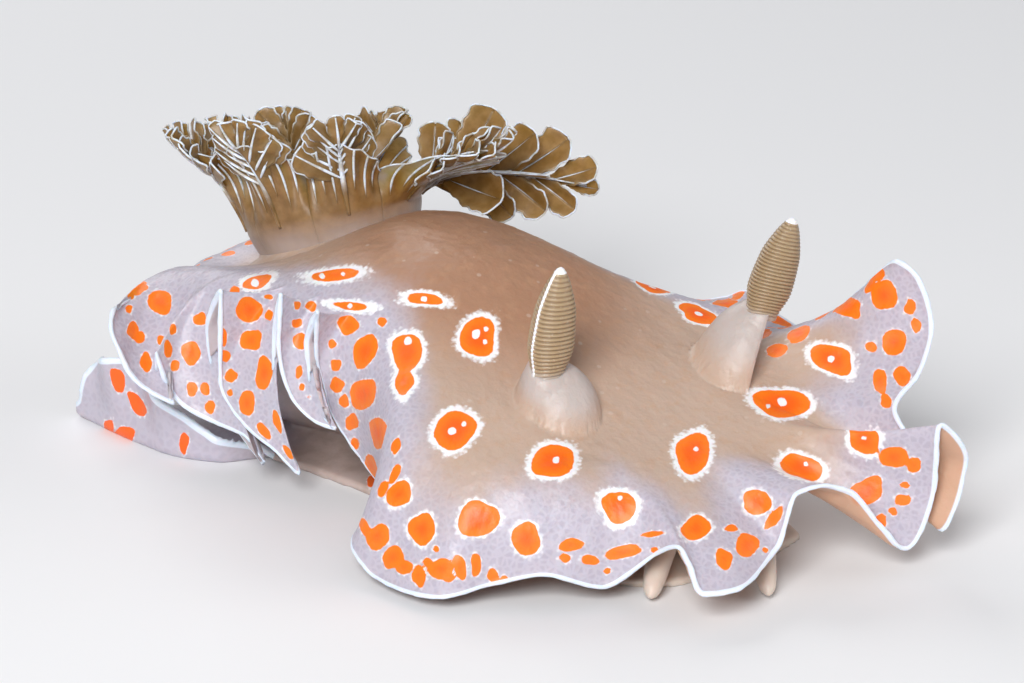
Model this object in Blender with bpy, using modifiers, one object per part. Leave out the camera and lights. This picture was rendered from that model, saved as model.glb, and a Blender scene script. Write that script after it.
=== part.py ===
"""Life-size still model of a marislas chromodorid, a sea slug that crawls with its head low.

The animal faces -Y and rests on the plane z = 0. Its right side is at -X.
Lengths below are in millimetres and angles in degrees. Angles round the mantle
start at its front, and 90 is the animal's right side. The meshes are in metres.
"""
import math
import random

import bmesh
import bpy
import numpy as np
from mathutils import Vector
from mathutils.bvhtree import BVHTree

MM = 0.001
GAP = 0.3
PART_NAME = "marislas_chromodorid"
SEED = 7

# Back: the middle of the mantle, inside the shoulder where the skirt begins
FRONT_LENGTH = 15.5
REAR_LENGTH = 20.0
HEAD_BEND = 1.0
REAR_BEND = 4.0
BACK_HEIGHT = {-20: 9.5, -14: 12.0, -6: 14.8, 0: 14.0, 8: 10.6, 15.5: 8.5}
SHOULDER_HALF_WIDTH = {-20: 8.5, -8: 8.0, -1: 7.5, 8: 12.0, 15.5: 13.5}
SHOULDER_HEIGHT = {
    0: 6.5, 50: 7.5, 75: 9.5, 100: 12.0, 140: 11.0, 180: 9.0, 220: 10.5, 260: 11.5, 300: 9.5,
}
DOME_POWER = 2.3
BACK_THICKNESS = 2.4
SKIN_THICKNESS = 0.7
HEM_THICKNESS = 0.5

# Skirt: each fold's angle, how far its hem stands out from the shoulder, how far
# it rises above the shoulder or hangs below it, and how far it leans back round
FRONT_RUFFLES = {
    -4: (6.6, -3.6, 0.7), 1: (8.2, -4.3, -1.2), 5: (7.8, -4.4, -1.4), 8: (6.8, -3.2, -0.5),
    11: (5.9, -2.5, 0.3), 14: (4.2, -3.6, 0.6), 20: (3.2, -5.6, 0.0), 30: (3.1, -5.0, 0.0),
    38: (3.4, -5.7, -0.5), 46: (4.6, -6.5, -0.6), 56: (3.9, -7.0, -1.6), 62: (4.0, -6.6, -1.0),
    70: (2.4, -6.3, 0.5), 76: (1.2, -6.6, 1.0),
}
RIGHT_PLEATS = {
    86: (0.6, -8.6, -2.0), 95: (1.4, -7.2, -0.5), 103: (2.2, -7.2, 0.2), 111: (2.6, -9.4, 0.8),
    120: (2.8, -9.2, 0.8), 128: (3.8, -7.6, 0.4), 138: (5.2, -6.2, 1.0),
}
REAR_RUFFLES = {
    146: (6.0, -5.4, 2.8), 152: (6.8, -3.2, 3.8), 159: (6.5, -2.2, 4.3), 167: (5.0, -3.2, 3.4),
    178: (3.5, -5.5, 1.0), 188: (4.0, -3.0, 0.0), 198: (3.8, -6.6, 0.0),
}
LEFT_PLEATS = {
    208: (4.6, -7.4, 0.0), 215: (4.6, -4.2, 0.0), 222: (4.0, -7.6, 0.0), 232: (3.6, -8.0, 0.0),
    240: (4.6, -4.6, 0.0), 248: (3.6, -8.2, 0.0), 256: (3.6, -8.0, 0.0), 264: (4.6, -4.4, 0.0),
    272: (4.0, -6.0, 0.0),
}
FAR_FLAPS = {
    281: (4.0, -2.6, -0.8), 290: (4.6, -1.2, 0.1), 297: (4.8, -0.8, 0.0), 303: (5.2, 0.8, -1.9),
    310: (7.3, 5.4, -4.4), 318: (9.7, 2.6, -2.0), 324: (8.4, 0.0, -2.2), 328: (11.6, -2.6, -1.9),
    331: (12.2, -4.4, -1.3), 335: (11.6, -0.4, -0.6), 340: (10.4, -5.0, 0.4), 346: (8.2, -2.4, 1.0),
    351: (6.8, -0.9, 0.8),
}
SKIRT_FOLDS = {**FRONT_RUFFLES, **RIGHT_PLEATS, **REAR_RUFFLES, **LEFT_PLEATS, **FAR_FLAPS}
# Pinched pleats of the right side, where the hem runs up to a notch: share of the
# skirt's length that is left there
PLEAT_NOTCHES = {
    92: 1.0, 98: 0.4, 102.5: 0.97, 107: 0.4, 112: 1.0, 117: 0.42, 122: 1.0, 128: 1.0, 134: 0.65, 140: 1.0,
}
SKIRT_BULGE = 0.45
SKIRT_PARTINGS = {"front": (-14, 38), "right": (38, 80), "right_rear": (80, 176), "left_rear": (176, 256),
                  "left": (256, 302), "left_front": (302, 346)}
HEM_STEP = 0.9
MAX_FOLD_STEPS = 4
SKIRT_ROWS = 5
NORMAL_SPAN = 3.5
SLOPE_STEP = 0.005
TURN_STEP = 0.05
SHARE_STEP = 0.004
COUNT_STEPS = 8
PROBE_STEP = 0.5
PROBE_ROWS = 24
PROBE_START = 0.03
PLEAT_REACH = 3.0
PLEAT_SHARE = 0.4
CUT_CLEARANCE = 1.0

PLACE_ROUNDS = 8
BACK_COLUMNS = 40
BACK_RINGS = (0.06, 0.3, 0.5, 0.68, 0.84, 1.0)

# Body and head: stations along y, each at a height above the sole
MIDLINE = {-19: 2.0, -11: 1.0, 0: 0.0, 8: -0.6, 15: -2.2}
TRUNK_HALF_WIDTH = {-18.4: 1.6, -17.5: 2.9, -15: 4.0, -11: 5.2, -4: 5.4, 4: 5.2, 12: 5.0, 14.5: 3.6}
TRUNK_FLOOR = {-18.4: 2.0, -17: 1.9, -14: 1.7, 12: 1.7, 14.5: 3.5}
TRUNK_TOP = {-18.4: 3.3, -17: 4.3, -15: 5.6, -11: 6.6, -6: 8.0, 0: 11.0, 6: 11.8, 11: 9.8, 14.5: 7.6}
TRUNK_SIDES = 16
TRUNK_SQUARENESS = 0.75
TRUNK_REAR = 14.5
HEAD_CUT = -11.0
MOUTH_FRONT = -18.4
MOUTH_FOLDS = ((0.75, 0.35), (0.4, 0.35), (0.25, -0.4))
BODY_STATIONS = 10
HEAD_STATIONS = 6

# Foot and tail: edges of the sole, and the right margin that turns up towards the tail
SOLE_LEFT = {
    -18.3: 4.5, -17.6: 7.2, -15: 8.0, -8: 6.4, 0: 5.9, 8: 5.2, 14: 3.4, 18: -1.5, 21: -6.5, 24: -10.6,
}
SOLE_RIGHT = {
    -18.3: 0.5, -17.6: -1.8, -15: -3.6, -8: -4.6, 0: -5.0, 8: -5.7, 11: -6.6, 12.4: -9.6, 16: -11.2,
    20: -11.4, 24: -11.3,
}
MARGIN_LENGTH = {-18.3: 0.8, -15: 1.2, 8: 1.2, 11.4: 1.6, 13: 2.0, 16: 3.2, 19: 4.4, 21: 4.0, 24: 1.6}
MARGIN_RISE = {8: 0, 10: 10, 13: 75, 18: 88, 24: 80}
MARGIN_BEND = 2.0
SOLE_HUMP = {-18.3: 0.6, -15: 1.3, 12: 1.3, 15: 0.9, 24: 0.6}
SOLE_EDGE = 0.6
MARGIN_TURN = 0.5
SOLE_COLUMNS = 8
MARGIN_COLUMNS = 4
TAIL_CUT = 15.0
FOOT_STATIONS = (-18.3, -17.9, -17.0, -15.0, -12.0, -8.0, -3.0, 2.0, 6.0, 8.5, 10.0, 11.0, 12.0, 13.0,
                 TAIL_CUT - GAP / 2)
TAIL_STATIONS = (TAIL_CUT + GAP / 2, 16.5, 18.0, 19.5, 21.0, 22.3, 23.4, 24.0)

# Oral tentacles: root and tip of each, and radius along it
ORAL_TENTACLES = {
    "right": ((-2.6, -16.6, 1.9), (-5.1, -18.4, 0.45)),
    "left": ((2.2, -19.2, 2.0), (-0.2, -22.3, 0.45)),
}
TENTACLE_PROFILE = ((0.0, 0.75), (0.3, 0.8), (0.75, 0.62), (1.0, 0.3))
TENTACLE_SIDES = 8

# Rhinophores: base on the back, axis of the club with its sheath, and height of the sheath
RHINOPHORES = {
    "right": ((-4.36, -9.27), (0.4, -0.9, 7.6), 1.0),
    "left": ((7.9, -12.2), (2.2, -1.3, 8.3), 1.6),
}
SHEATH_RADIUS = 2.0
SHEATH_FOOT = (0.5, 1.0)
SHEATH_PROFILE = ((0.9, 1.05), (1.5, 0.95), (1.9, 0.7))
SHEATH_SIDES = 12
LAMELLAE = 9
LAMELLA_VALLEY = 0.9
CLUB_PROFILE = {0: 1.05, 0.35: 1.4, 0.75: 1.05, 1: 0.5}
CLUB_SHARE = 0.95
CLUB_SIDES = 12
CLUB_TIP_RADIUS = 0.28

# Turned shapes: distance at which a profile's ends close on the axis
MERGE_DISTANCE = 0.00001

# Gills: a cup on the back, and plumes round its rim, each leaning out and rising
GILL_PLACE = (0.2, 13.3)
GILL_TILT = 18
GILL_FOOT_RADIUS = 3.6
GILL_CUP_HEIGHT = 1.2
GILL_CUP_PROFILE = (
    (4.6, 0.8), (5.6, GILL_CUP_HEIGHT), (4.6, GILL_CUP_HEIGHT), (3.4, 0.9), (1.0, 0.8),
    (0.6, GILL_CUP_HEIGHT),
)
GILL_RING_RADIUS = 5.2
GILL_SIDES = 18
PLUMES = (
    (-18, 6.7, 1.9), (-50, 9.2, -1.5), (-84, 8.8, -0.5), (-120, 5.0, 3.8), (-158, 2.4, 4.9), (165, 2.0, 5.2),
    (122, 2.6, 5.4), (75, 2.4, 5.2), (28, 1.6, 4.1),
)
PLUME_KNEE = (0.25, 0.7)
LEAST_KNEE_RISE = 1.7
PLUME_STEPS = 4
RACHIS_RADIUS = {0: 0.62, 0.5: 0.42, 1: 0.28}
RACHIS_SIDES = 5
RACHIS_FLATNESS = 1.3
PINNA_PAIRS = 4
PINNA_START = 0.12
PINNA_END = 0.94
PINNA_STAGGER = 0.5
PINNA_FACE = (0.8, 0.6)
PINNA_VARIETY = (0.9, 1.1)
PINNA_KEEL = 0.01
PINNA_SPREAD = (40, 54)
PINNA_LENGTH = {0.1: 1.9, 0.5: 2.7, 0.9: 2.1}
PINNA_WIDTH = 0.42
PINNA_PROFILE = ((0.0, 0.5), (0.6, 1.0), (1.0, 0.35))
PINNA_BEND = 0.25
PINNA_THICKNESS = 0.55
JOIN_SOLVER = "MANIFOLD"

# Colour and roughness of the skin on each kind of sub-part
SKINS = {
    "back": ((0.43, 0.215, 0.12), 0.35), "mantle_skirt": ((0.60, 0.54, 0.62), 0.35),
    "body": ((0.42, 0.33, 0.30), 0.4), "head": ((0.47, 0.33, 0.24), 0.4),
    "foot": ((0.50, 0.42, 0.42), 0.4), "tail": ((0.58, 0.52, 0.60), 0.4),
    "oral_tentacle": ((0.55, 0.47, 0.42), 0.4), "rhinophore_sheath": ((0.50, 0.43, 0.40), 0.3),
    "rhinophore": ((0.36, 0.25, 0.15), 0.4), "gill_base": ((0.45, 0.38, 0.40), 0.35),
    "gill_plume": ((0.22, 0.14, 0.06), 0.35),
}


def ease(place, knots):
    """Smooth curve with no overshoot through the values at some places, level beyond the ends."""
    places = np.array(sorted(knots), float)
    values = np.array([knots[key] for key in sorted(knots)], float)
    steps = np.diff(values) / np.diff(places)
    slopes = np.zeros(len(places))
    before, after = steps[:-1], steps[1:]
    same_way = before * after > 0
    slopes[1:-1][same_way] = 2 * (before * after)[same_way] / (before + after)[same_way]
    place = np.clip(place, places[0], places[-1])
    i = np.clip(np.searchsorted(places, place) - 1, 0, len(places) - 2)
    span = places[i + 1] - places[i]
    t = (place - places[i]) / span
    return ((2 * t**3 - 3 * t**2 + 1) * values[i] + (t**3 - 2 * t**2 + t) * span * slopes[i]
            + (3 * t**2 - 2 * t**3) * values[i + 1] + (t**3 - t**2) * span * slopes[i + 1])


def circle_ease(angle, knots):
    """The same curve closed round a full turn."""
    turns = {key + turn: value for key, value in knots.items() for turn in (-360, 0, 360)}
    return ease((angle + 180) % 360 - 180, turns)


def place_on_back(along, side):
    """Level position of a place ahead of the hump and to the right of the bent midline."""
    bend = np.where(along > 0, HEAD_BEND / FRONT_LENGTH**2, REAR_BEND / REAR_LENGTH**2)
    slope = -2 * bend * along
    norm = np.sqrt(1 + slope**2)
    return np.stack([-bend * along**2 - side / norm, -along - side * slope / norm], -1)


def dome(r, angle):
    """Point of the back's surface: r is 0 on the hump and 1 at the shoulder."""
    turn = np.radians(angle)
    along = r * np.cos(turn) * np.where(np.cos(turn) > 0, FRONT_LENGTH, REAR_LENGTH)
    side = r * np.sin(turn) * ease(along, SHOULDER_HALF_WIDTH)
    fall = r**DOME_POWER
    height = ease(along, BACK_HEIGHT) * (1 - fall) + circle_ease(angle, SHOULDER_HEIGHT) * fall
    return np.concatenate([place_on_back(along, side), height[..., None]], -1)


def unit(vectors):
    return vectors / np.linalg.norm(vectors, axis=-1, keepdims=True)


def skirt(angles, s):
    """Skirt surface on a grid of angles and distances s, 0 at the shoulder and 1 at the hem."""
    rim = np.ones_like(angles)
    shoulder = dome(rim, angles)
    round_way = unit((dome(rim, angles + TURN_STEP) - dome(rim, angles - TURN_STEP))[:, :2])
    out_way = np.stack([-round_way[:, 1], round_way[:, 0]], -1)
    slope = unit(shoulder - dome(rim - SLOPE_STEP, angles))
    out_way *= np.sign((out_way * slope[:, :2]).sum(1))[:, None]
    tables = ({angle: fold[i] for angle, fold in SKIRT_FOLDS.items()} for i in range(3))
    out, rise, lean = (circle_ease(angles, table) for table in tables)
    hem = shoulder.copy()
    hem[:, :2] += out_way * out[:, None] - round_way * lean[:, None]
    hem[:, 2] += rise
    reach = np.linalg.norm(hem - shoulder, axis=1)[:, None]
    middle = shoulder + slope * reach * SKIRT_BULGE
    s = np.reshape(s, (1, -1, 1)) if np.ndim(s) < 2 else s[..., None]
    return ((1 - s)**2 * shoulder[:, None] + 2 * s * (1 - s) * middle[:, None] + s**2 * hem[:, None])


def skirt_normals(angles, s):
    """Outward unit normals of the skirt on the same grid."""
    round_way = skirt(angles + NORMAL_SPAN, s) - skirt(angles - NORMAL_SPAN, s)
    down_way = skirt(angles, s + SHARE_STEP) - skirt(angles, s - SHARE_STEP)
    return unit(np.cross(round_way, down_way))


def remove_all_objects():
    for item in list(bpy.data.objects):
        bpy.data.objects.remove(item, do_unlink=True)


def make_root():
    """Empty on the sole that every sub-part hangs from."""
    collection = bpy.data.collections.new(PART_NAME)
    bpy.context.scene.collection.children.link(collection)
    collection.objects.link(bpy.data.objects.new(PART_NAME, None))


def skin_of(name):
    """A material of its own for a sub-part, coloured as its kind."""
    kind = next(key for key in sorted(SKINS, key=len, reverse=True) if name.startswith(key))
    colour, roughness = SKINS[kind]
    material = bpy.data.materials.new(name + "_skin")
    material.use_nodes = True
    shader = material.node_tree.nodes["Principled BSDF"]
    shader.inputs["Base Color"].default_value = (*colour, 1.0)
    shader.inputs["Roughness"].default_value = roughness
    shader.inputs["Metallic"].default_value = 0.0
    material.diffuse_color = (*colour, 1.0)
    return material


def new_object(name, bm):
    """Object for a finished bmesh in millimetres, placed by its middle under the root."""
    bmesh.ops.scale(bm, vec=(MM, MM, MM), verts=bm.verts)
    low = Vector([min(vert.co[i] for vert in bm.verts) for i in range(3)])
    high = Vector([max(vert.co[i] for vert in bm.verts) for i in range(3)])
    middle = (low + high) / 2
    bmesh.ops.recalc_face_normals(bm, faces=bm.faces)
    bmesh.ops.translate(bm, vec=-middle, verts=bm.verts)
    item = hang(name, bm)
    item.location = middle
    return item


def hang(name, bm):
    """Object for a bmesh in metres, in the part's collection and under its root."""
    mesh = bpy.data.meshes.new(name)
    bm.to_mesh(mesh)
    bm.free()
    mesh.shade_smooth()
    item = bpy.data.objects.new(name, mesh)
    bpy.data.collections[PART_NAME].objects.link(item)
    item.parent = bpy.data.objects[PART_NAME]
    return item


def add_part(name, bm):
    """Sub-part with its own material."""
    item = new_object(name, bm)
    item.data.materials.append(skin_of(name))
    return item


def add_turned(name, foot, axis, profile, sides):
    """Sub-part turned about an axis: its profile runs down from top to bottom."""
    bm = bmesh.new()
    verts = [bm.verts.new((radius * MM, 0, height * MM)) for radius, height in profile]
    for first, second in zip(verts, verts[1:]):
        bm.edges.new((first, second))
    item = hang(name, bm)
    item.location = Vector(foot) * MM
    item.rotation_euler = Vector(axis).to_track_quat("Z", "X").to_euler()
    turn = item.modifiers.new("turn", "SCREW")
    turn.steps = sides
    turn.render_steps = sides
    turn.use_merge_vertices = True
    turn.merge_threshold = MERGE_DISTANCE
    item.data.materials.append(skin_of(name))
    return item


def loft(sections, sheet=False):
    """Closed bmesh through closed sections of as many points each.

    A sheet's section runs along its top and back along its underside, and both
    faces are split into triangles alike.
    """
    bm = bmesh.new()
    rows = [[bm.verts.new(point) for point in section] for section in sections]
    count = len(rows[0])
    for row, following in zip(rows, rows[1:]):
        for i in range(count):
            j = (i + 1) % count
            if sheet and i >= count // 2:
                bm.faces.new((row[i], row[j], following[i]))
                bm.faces.new((row[j], following[j], following[i]))
            else:
                bm.faces.new((row[i], row[j], following[j]))
                bm.faces.new((row[i], following[j], following[i]))
    for row in (rows[0], rows[-1]):
        if sheet:
            for i in range(count // 2 - 1):
                bm.faces.new((row[i], row[i + 1], row[count - 2 - i], row[count - 1 - i]))
        else:
            centre = bm.verts.new(sum((vert.co for vert in row), Vector()) / count)
            for i in range(count):
                bm.faces.new((row[i], row[(i + 1) % count], centre))
    return bm


def ring(centre, across, along, radius, count, squeeze=1.0):
    """Closed ring of points in the plane of two unit vectors."""
    centre, across, along = Vector(centre), Vector(across), Vector(along)
    turns = [2 * math.pi * i / count for i in range(count)]
    return [centre + radius * (math.cos(turn) * across + squeeze * math.sin(turn) * along) for turn in turns]


def frame_along(direction, side):
    """Two unit vectors square to a direction, the first as near to side as it can be."""
    direction = Vector(direction).normalized()
    across = (Vector(side) - direction * direction.dot(Vector(side))).normalized()
    return across, direction.cross(across)


def bezier(points, t):
    start, middle, end = (Vector(point) for point in points)
    return (1 - t)**2 * start + 2 * t * (1 - t) * middle + t**2 * end


def bezier_direction(points, t):
    start, middle, end = (Vector(point) for point in points)
    return ((1 - t) * (middle - start) + t * (end - middle)).normalized()


def join(name, pieces):
    """One closed body from pieces that run into each other."""
    group = bpy.data.collections.new(name + "_pieces")
    for piece in pieces[1:]:
        group.objects.link(piece)
    item = pieces[0]
    union = item.modifiers.new("union", "BOOLEAN")
    union.operation = "UNION"
    union.operand_type = "COLLECTION"
    union.collection = group
    union.solver = JOIN_SOLVER
    depsgraph = bpy.context.evaluated_depsgraph_get()
    mesh = bpy.data.meshes.new_from_object(item.evaluated_get(depsgraph))
    item.modifiers.clear()
    item.data = mesh
    mesh.materials.clear()
    mesh.materials.append(skin_of(name))
    for piece in pieces[1:]:
        bpy.data.objects.remove(piece, do_unlink=True)
    bpy.data.collections.remove(group)
    item.name = name
    mesh.name = name
    keep_largest_body(mesh)
    return item


def keep_largest_body(mesh):
    bm = bmesh.new()
    bm.from_mesh(mesh)
    bmesh.ops.triangulate(bm, faces=bm.faces)
    left = set(bm.faces)
    bodies = []
    while left:
        body = set()
        waiting = [left.pop()]
        while waiting:
            face = waiting.pop()
            body.add(face)
            for edge in face.edges:
                for other in edge.link_faces:
                    if other in left:
                        left.discard(other)
                        waiting.append(other)
        bodies.append(body)
    bodies.sort(key=lambda body: sum(face.calc_area() for face in body), reverse=True)
    for body in bodies[1:]:
        bmesh.ops.delete(bm, geom=list(body), context="FACES")
    bmesh.ops.delete(bm, geom=[vert for vert in bm.verts if not vert.link_faces], context="VERTS")
    bm.to_mesh(mesh)
    bm.free()


def hem_place(angles):
    """How far along the skirt its hem is, less than 1 in the notches of the pleats."""
    return circle_ease(angles, PLEAT_NOTCHES)


def skirt_columns():
    """Angles round the skirt, closer together where its hem runs further."""
    knots = sorted({*SKIRT_FOLDS, *PLEAT_NOTCHES})
    knots.append(knots[0] + 360)
    columns = []
    for first, last in zip(knots, knots[1:]):
        angles = np.linspace(first, last, COUNT_STEPS + 1)
        hem = skirt(angles, hem_place(angles)[:, None])[:, 0]
        run = np.linalg.norm(np.diff(hem, axis=0), axis=1).sum()
        count = int(np.clip(round(run / HEM_STEP), 1, MAX_FOLD_STEPS))
        columns += list(np.linspace(first, last, count, endpoint=False))
    return np.array(columns)


def skirt_tree():
    """Search tree of the skirt, for the room under each of its points."""
    angles = np.arange(0, 360, PROBE_STEP)
    grid = skirt(angles, np.linspace(0, 1, PROBE_ROWS))
    rows, count = grid.shape[:2]
    faces = [(i * count + k, i * count + k + 1, (i + 1) % rows * count + k + 1, (i + 1) % rows * count + k)
             for i in range(rows) for k in range(count - 1)]
    return BVHTree.FromPolygons([Vector(point) for point in grid.reshape(-1, 3)], faces)


def room_under(tree, point, normal):
    """Distance from a point of the skirt, straight through it, to the next fold."""
    start = Vector(point) - Vector(normal) * PROBE_START
    hit = tree.ray_cast(start, -Vector(normal), PLEAT_REACH)
    return PLEAT_REACH if hit[0] is None else hit[3] + PROBE_START


def skirt_section(angle, shift, tree):
    """Section of the skirt's sheet at one angle, moved along the hem by shift."""
    angles = np.array([float(angle)])
    probe = skirt(angles, np.array([0.0, SHARE_STEP]))[0]
    first = GAP / 2 * SHARE_STEP / np.linalg.norm(probe[1] - probe[0])
    s = np.linspace(first, hem_place(angles)[0], SKIRT_ROWS)
    top = skirt(angles, s)[0]
    normals = skirt_normals(angles, s)[0]
    if shift:
        top += shift * unit(skirt(angles + TURN_STEP, s)[0] - skirt(angles - TURN_STEP, s)[0])
    thickness = SKIN_THICKNESS + (HEM_THICKNESS - SKIN_THICKNESS) * s
    room = np.array([room_under(tree, point, normal) for point, normal in zip(top, normals)])
    under = top - normals * np.minimum(thickness, room * PLEAT_SHARE)[:, None]
    return [Vector(point) for point in (*top, *under[::-1])]


def make_skirt():
    columns = skirt_columns()
    tree = skirt_tree()
    for name, (first, last) in SKIRT_PARTINGS.items():
        inner = sorted({(angle - first) % 360 + first for angle in columns})
        inner = [angle for angle in inner if first + CUT_CLEARANCE < angle < last - CUT_CLEARANCE]
        sections = [skirt_section(first, GAP / 2, tree)]
        sections += [skirt_section(angle, 0, tree) for angle in inner]
        sections.append(skirt_section(last, -GAP / 2, tree))
        add_part("mantle_skirt_" + name, loft(sections, sheet=True))


def back_under(r, angles):
    """Underside of the back, and how thick the back is there."""
    top = dome(r, angles)
    outward = skirt_normals(angles, np.array([SHARE_STEP]))[:, 0]
    share = r[:, None]**2
    down = unit(outward * share + np.array([0, 0, 1.0]) * (1 - share))
    thickness = BACK_THICKNESS + (SKIN_THICKNESS - BACK_THICKNESS) * share
    return top - down * thickness


def make_back():
    angles = np.arange(BACK_COLUMNS) * 360 / BACK_COLUMNS
    one = np.ones_like(angles)
    reach = np.linalg.norm(dome(one, angles) - dome(one - SLOPE_STEP, angles), axis=1) / SLOPE_STEP
    rim = 1 - GAP / 2 / reach
    radii = [share * rim for share in BACK_RINGS]
    sections = [dome(r, angles) for r in radii]
    sections += [back_under(r, angles) for r in reversed(radii)]
    add_part("back", loft([[Vector(point) for point in section] for section in sections]))


def back_height(x, y):
    """Height of the back's surface over a level position."""
    along, side = -y, -x
    for _ in range(PLACE_ROUNDS):
        place = place_on_back(np.array(along), np.array(side))
        along += place[1] - y
        side += place[0] - x
    length = FRONT_LENGTH if along > 0 else REAR_LENGTH
    half_width = float(ease(along, SHOULDER_HALF_WIDTH))
    r = math.hypot(along / length, side / half_width)
    angle = math.degrees(math.atan2(side / half_width, along / length))
    return float(dome(np.array([r]), np.array([angle]))[0, 2])


def trunk_section(y):
    """Section of the body or head across a station along the animal."""
    centre = float(ease(y, MIDLINE))
    half_width = float(ease(y, TRUNK_HALF_WIDTH))
    low = float(ease(y, TRUNK_FLOOR))
    high = float(ease(y, TRUNK_TOP))
    points = []
    for i in range(TRUNK_SIDES):
        turn = 2 * math.pi * i / TRUNK_SIDES
        across = math.copysign(abs(math.cos(turn))**TRUNK_SQUARENESS, math.cos(turn))
        upward = math.copysign(abs(math.sin(turn))**TRUNK_SQUARENESS, math.sin(turn))
        points.append(Vector((centre + half_width * across, y, (low + high) / 2 + (high - low) / 2 * upward)))
    return points


def make_body():
    rear, front = TRUNK_REAR, HEAD_CUT + GAP / 2
    stations = [rear + (front - rear) * i / BODY_STATIONS for i in range(BODY_STATIONS + 1)]
    add_part("body", loft([trunk_section(y) for y in stations]))


def make_head():
    rear, front = HEAD_CUT - GAP / 2, MOUTH_FRONT
    stations = [rear + (front - rear) * i / HEAD_STATIONS for i in range(HEAD_STATIONS + 1)]
    sections = [trunk_section(y) for y in stations]
    centre = sum(sections[-1], Vector()) / TRUNK_SIDES
    for share, depth in MOUTH_FOLDS:
        middle = centre - Vector((0, depth, 0))
        sections.append([middle + (point - centre) * share for point in sections[HEAD_STATIONS]])
    add_part("head", loft(sections))


def foot_section(y):
    """Section of the foot: a thin sole whose right margin turns up towards the tail."""
    left = float(ease(y, SOLE_LEFT))
    right = float(ease(y, SOLE_RIGHT))
    length = float(ease(y, MARGIN_LENGTH))
    rise = math.radians(float(ease(y, MARGIN_RISE)))
    hump = float(ease(y, SOLE_HUMP))
    top = []
    for i in range(SOLE_COLUMNS + 1):
        t = i / SOLE_COLUMNS
        height = SOLE_EDGE + (hump - SOLE_EDGE) * math.sin(math.pi * t)**2
        inset = SOLE_EDGE * (0.5 - t)
        top.append(Vector((left + (right - left) * t - inset, y, height)))
    under = [Vector((left + (right - left) * i / SOLE_COLUMNS, y, 0)) for i in range(SOLE_COLUMNS + 1)]
    for i in range(1, MARGIN_COLUMNS + 1):
        along = length * i / MARGIN_COLUMNS
        turn = rise * min(1.0, MARGIN_TURN + along / MARGIN_BEND)
        edge = Vector((right - along * math.cos(turn), y, along * math.sin(turn)))
        inward = Vector((math.sin(turn), 0, math.cos(turn)))
        under.append(edge)
        top.append(edge + inward * SOLE_EDGE)
    return top + under[::-1]


def make_foot_and_tail():
    for name, stations in (("foot", FOOT_STATIONS), ("tail", TAIL_STATIONS)):
        add_part(name, loft([foot_section(y) for y in stations], sheet=True))


def make_oral_tentacles():
    for side, (root, tip) in ORAL_TENTACLES.items():
        axis = Vector(tip) - Vector(root)
        profile = [(radius, axis.length * share) for share, radius in reversed(TENTACLE_PROFILE)]
        add_turned("oral_tentacle_" + side, root, axis, close_profile(profile), TENTACLE_SIDES)


def close_profile(profile):
    """The same profile, closed on the axis at its top and bottom."""
    return [(0, profile[0][1]), *profile, (0, profile[-1][1])]


def over_back(points, height):
    """Points over the same level places, at one height above the back."""
    return [Vector((point.x, point.y, back_height(point.x, point.y) + height)) for point in points]


def make_sheath(side, foot, axis, flare):
    """Sheath round a club: its foot follows the back and its rim stands square to the club."""
    up = axis.normalized()
    across, along = frame_along(axis, (1, 0, 0))
    sections = [over_back(ring(foot, (1, 0, 0), (0, 1, 0), SHEATH_RADIUS * share, SHEATH_SIDES), GAP)
                for share in SHEATH_FOOT]
    for height, share in SHEATH_PROFILE:
        radius = share * SHEATH_RADIUS
        low = over_back(ring(foot, (1, 0, 0), (0, 1, 0), radius, SHEATH_SIDES), GAP + height)
        high = ring(foot + up * height * flare, across, along, radius, SHEATH_SIDES)
        sections.append([a.lerp(b, height / SHEATH_PROFILE[-1][0]) for a, b in zip(low, high)])
    add_part("rhinophore_sheath_" + side, loft(sections))


def make_club(side, foot, axis, start):
    """Club with ridges round it, turned about its axis from the sheath up."""
    profile = [(CLUB_TIP_RADIUS, axis.length)]
    for i in range(2 * LAMELLAE, -1, -1):
        share = i / (2 * LAMELLAE)
        radius = float(ease(share, CLUB_PROFILE)) * (1 if i % 2 else LAMELLA_VALLEY)
        profile.append((radius, start + (axis.length - start) * share * CLUB_SHARE))
    add_turned("rhinophore_" + side, foot, axis, close_profile(profile), CLUB_SIDES)


def make_rhinophores():
    for side, ((x, y), lean, flare) in RHINOPHORES.items():
        foot = Vector((x, y, back_height(x, y)))
        make_sheath(side, foot, Vector(lean), flare)
        make_club(side, foot, Vector(lean), SHEATH_PROFILE[-1][0] * flare + GAP)


def gill_frame():
    """Centre of the gill pocket on the back, and its level and upward directions."""
    x, y = GILL_PLACE
    centre = Vector((x, y, back_height(x, y)))
    up = Vector((0, math.sin(math.radians(GILL_TILT)), math.cos(math.radians(GILL_TILT))))
    across, along = frame_along(up, (1, 0, 0))
    return centre, across, along, up


def make_gill_base():
    """Cup with a foot that follows the back, and a small knob in its middle."""
    centre, across, along, up = gill_frame()
    sections = [over_back(ring(centre, (1, 0, 0), (0, 1, 0), radius, GILL_SIDES), GAP)
                for radius in (GILL_FOOT_RADIUS / 2, GILL_FOOT_RADIUS)]
    for radius, height in GILL_CUP_PROFILE:
        level = ring(centre + up * height, across, along, radius, GILL_SIDES)
        clear = over_back(level, GAP)
        sections.append([point if point.z > low.z else low for point, low in zip(level, clear)])
    add_part("gill_base", loft(sections))


def pinna(root, direction, upward, length, width):
    """Small leaf that bends upward along its length."""
    across = direction.cross(upward).normalized()
    sections = []
    for t, share in PINNA_PROFILE:
        centre = root + direction * length * t + upward * length * PINNA_BEND * t * t
        half = width * share
        rise = upward * PINNA_THICKNESS / 2
        sections.append([centre + across * half, centre + rise - direction * PINNA_KEEL,
                         centre - across * half, centre - rise])
    return new_object("pinna", loft(sections))


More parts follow.
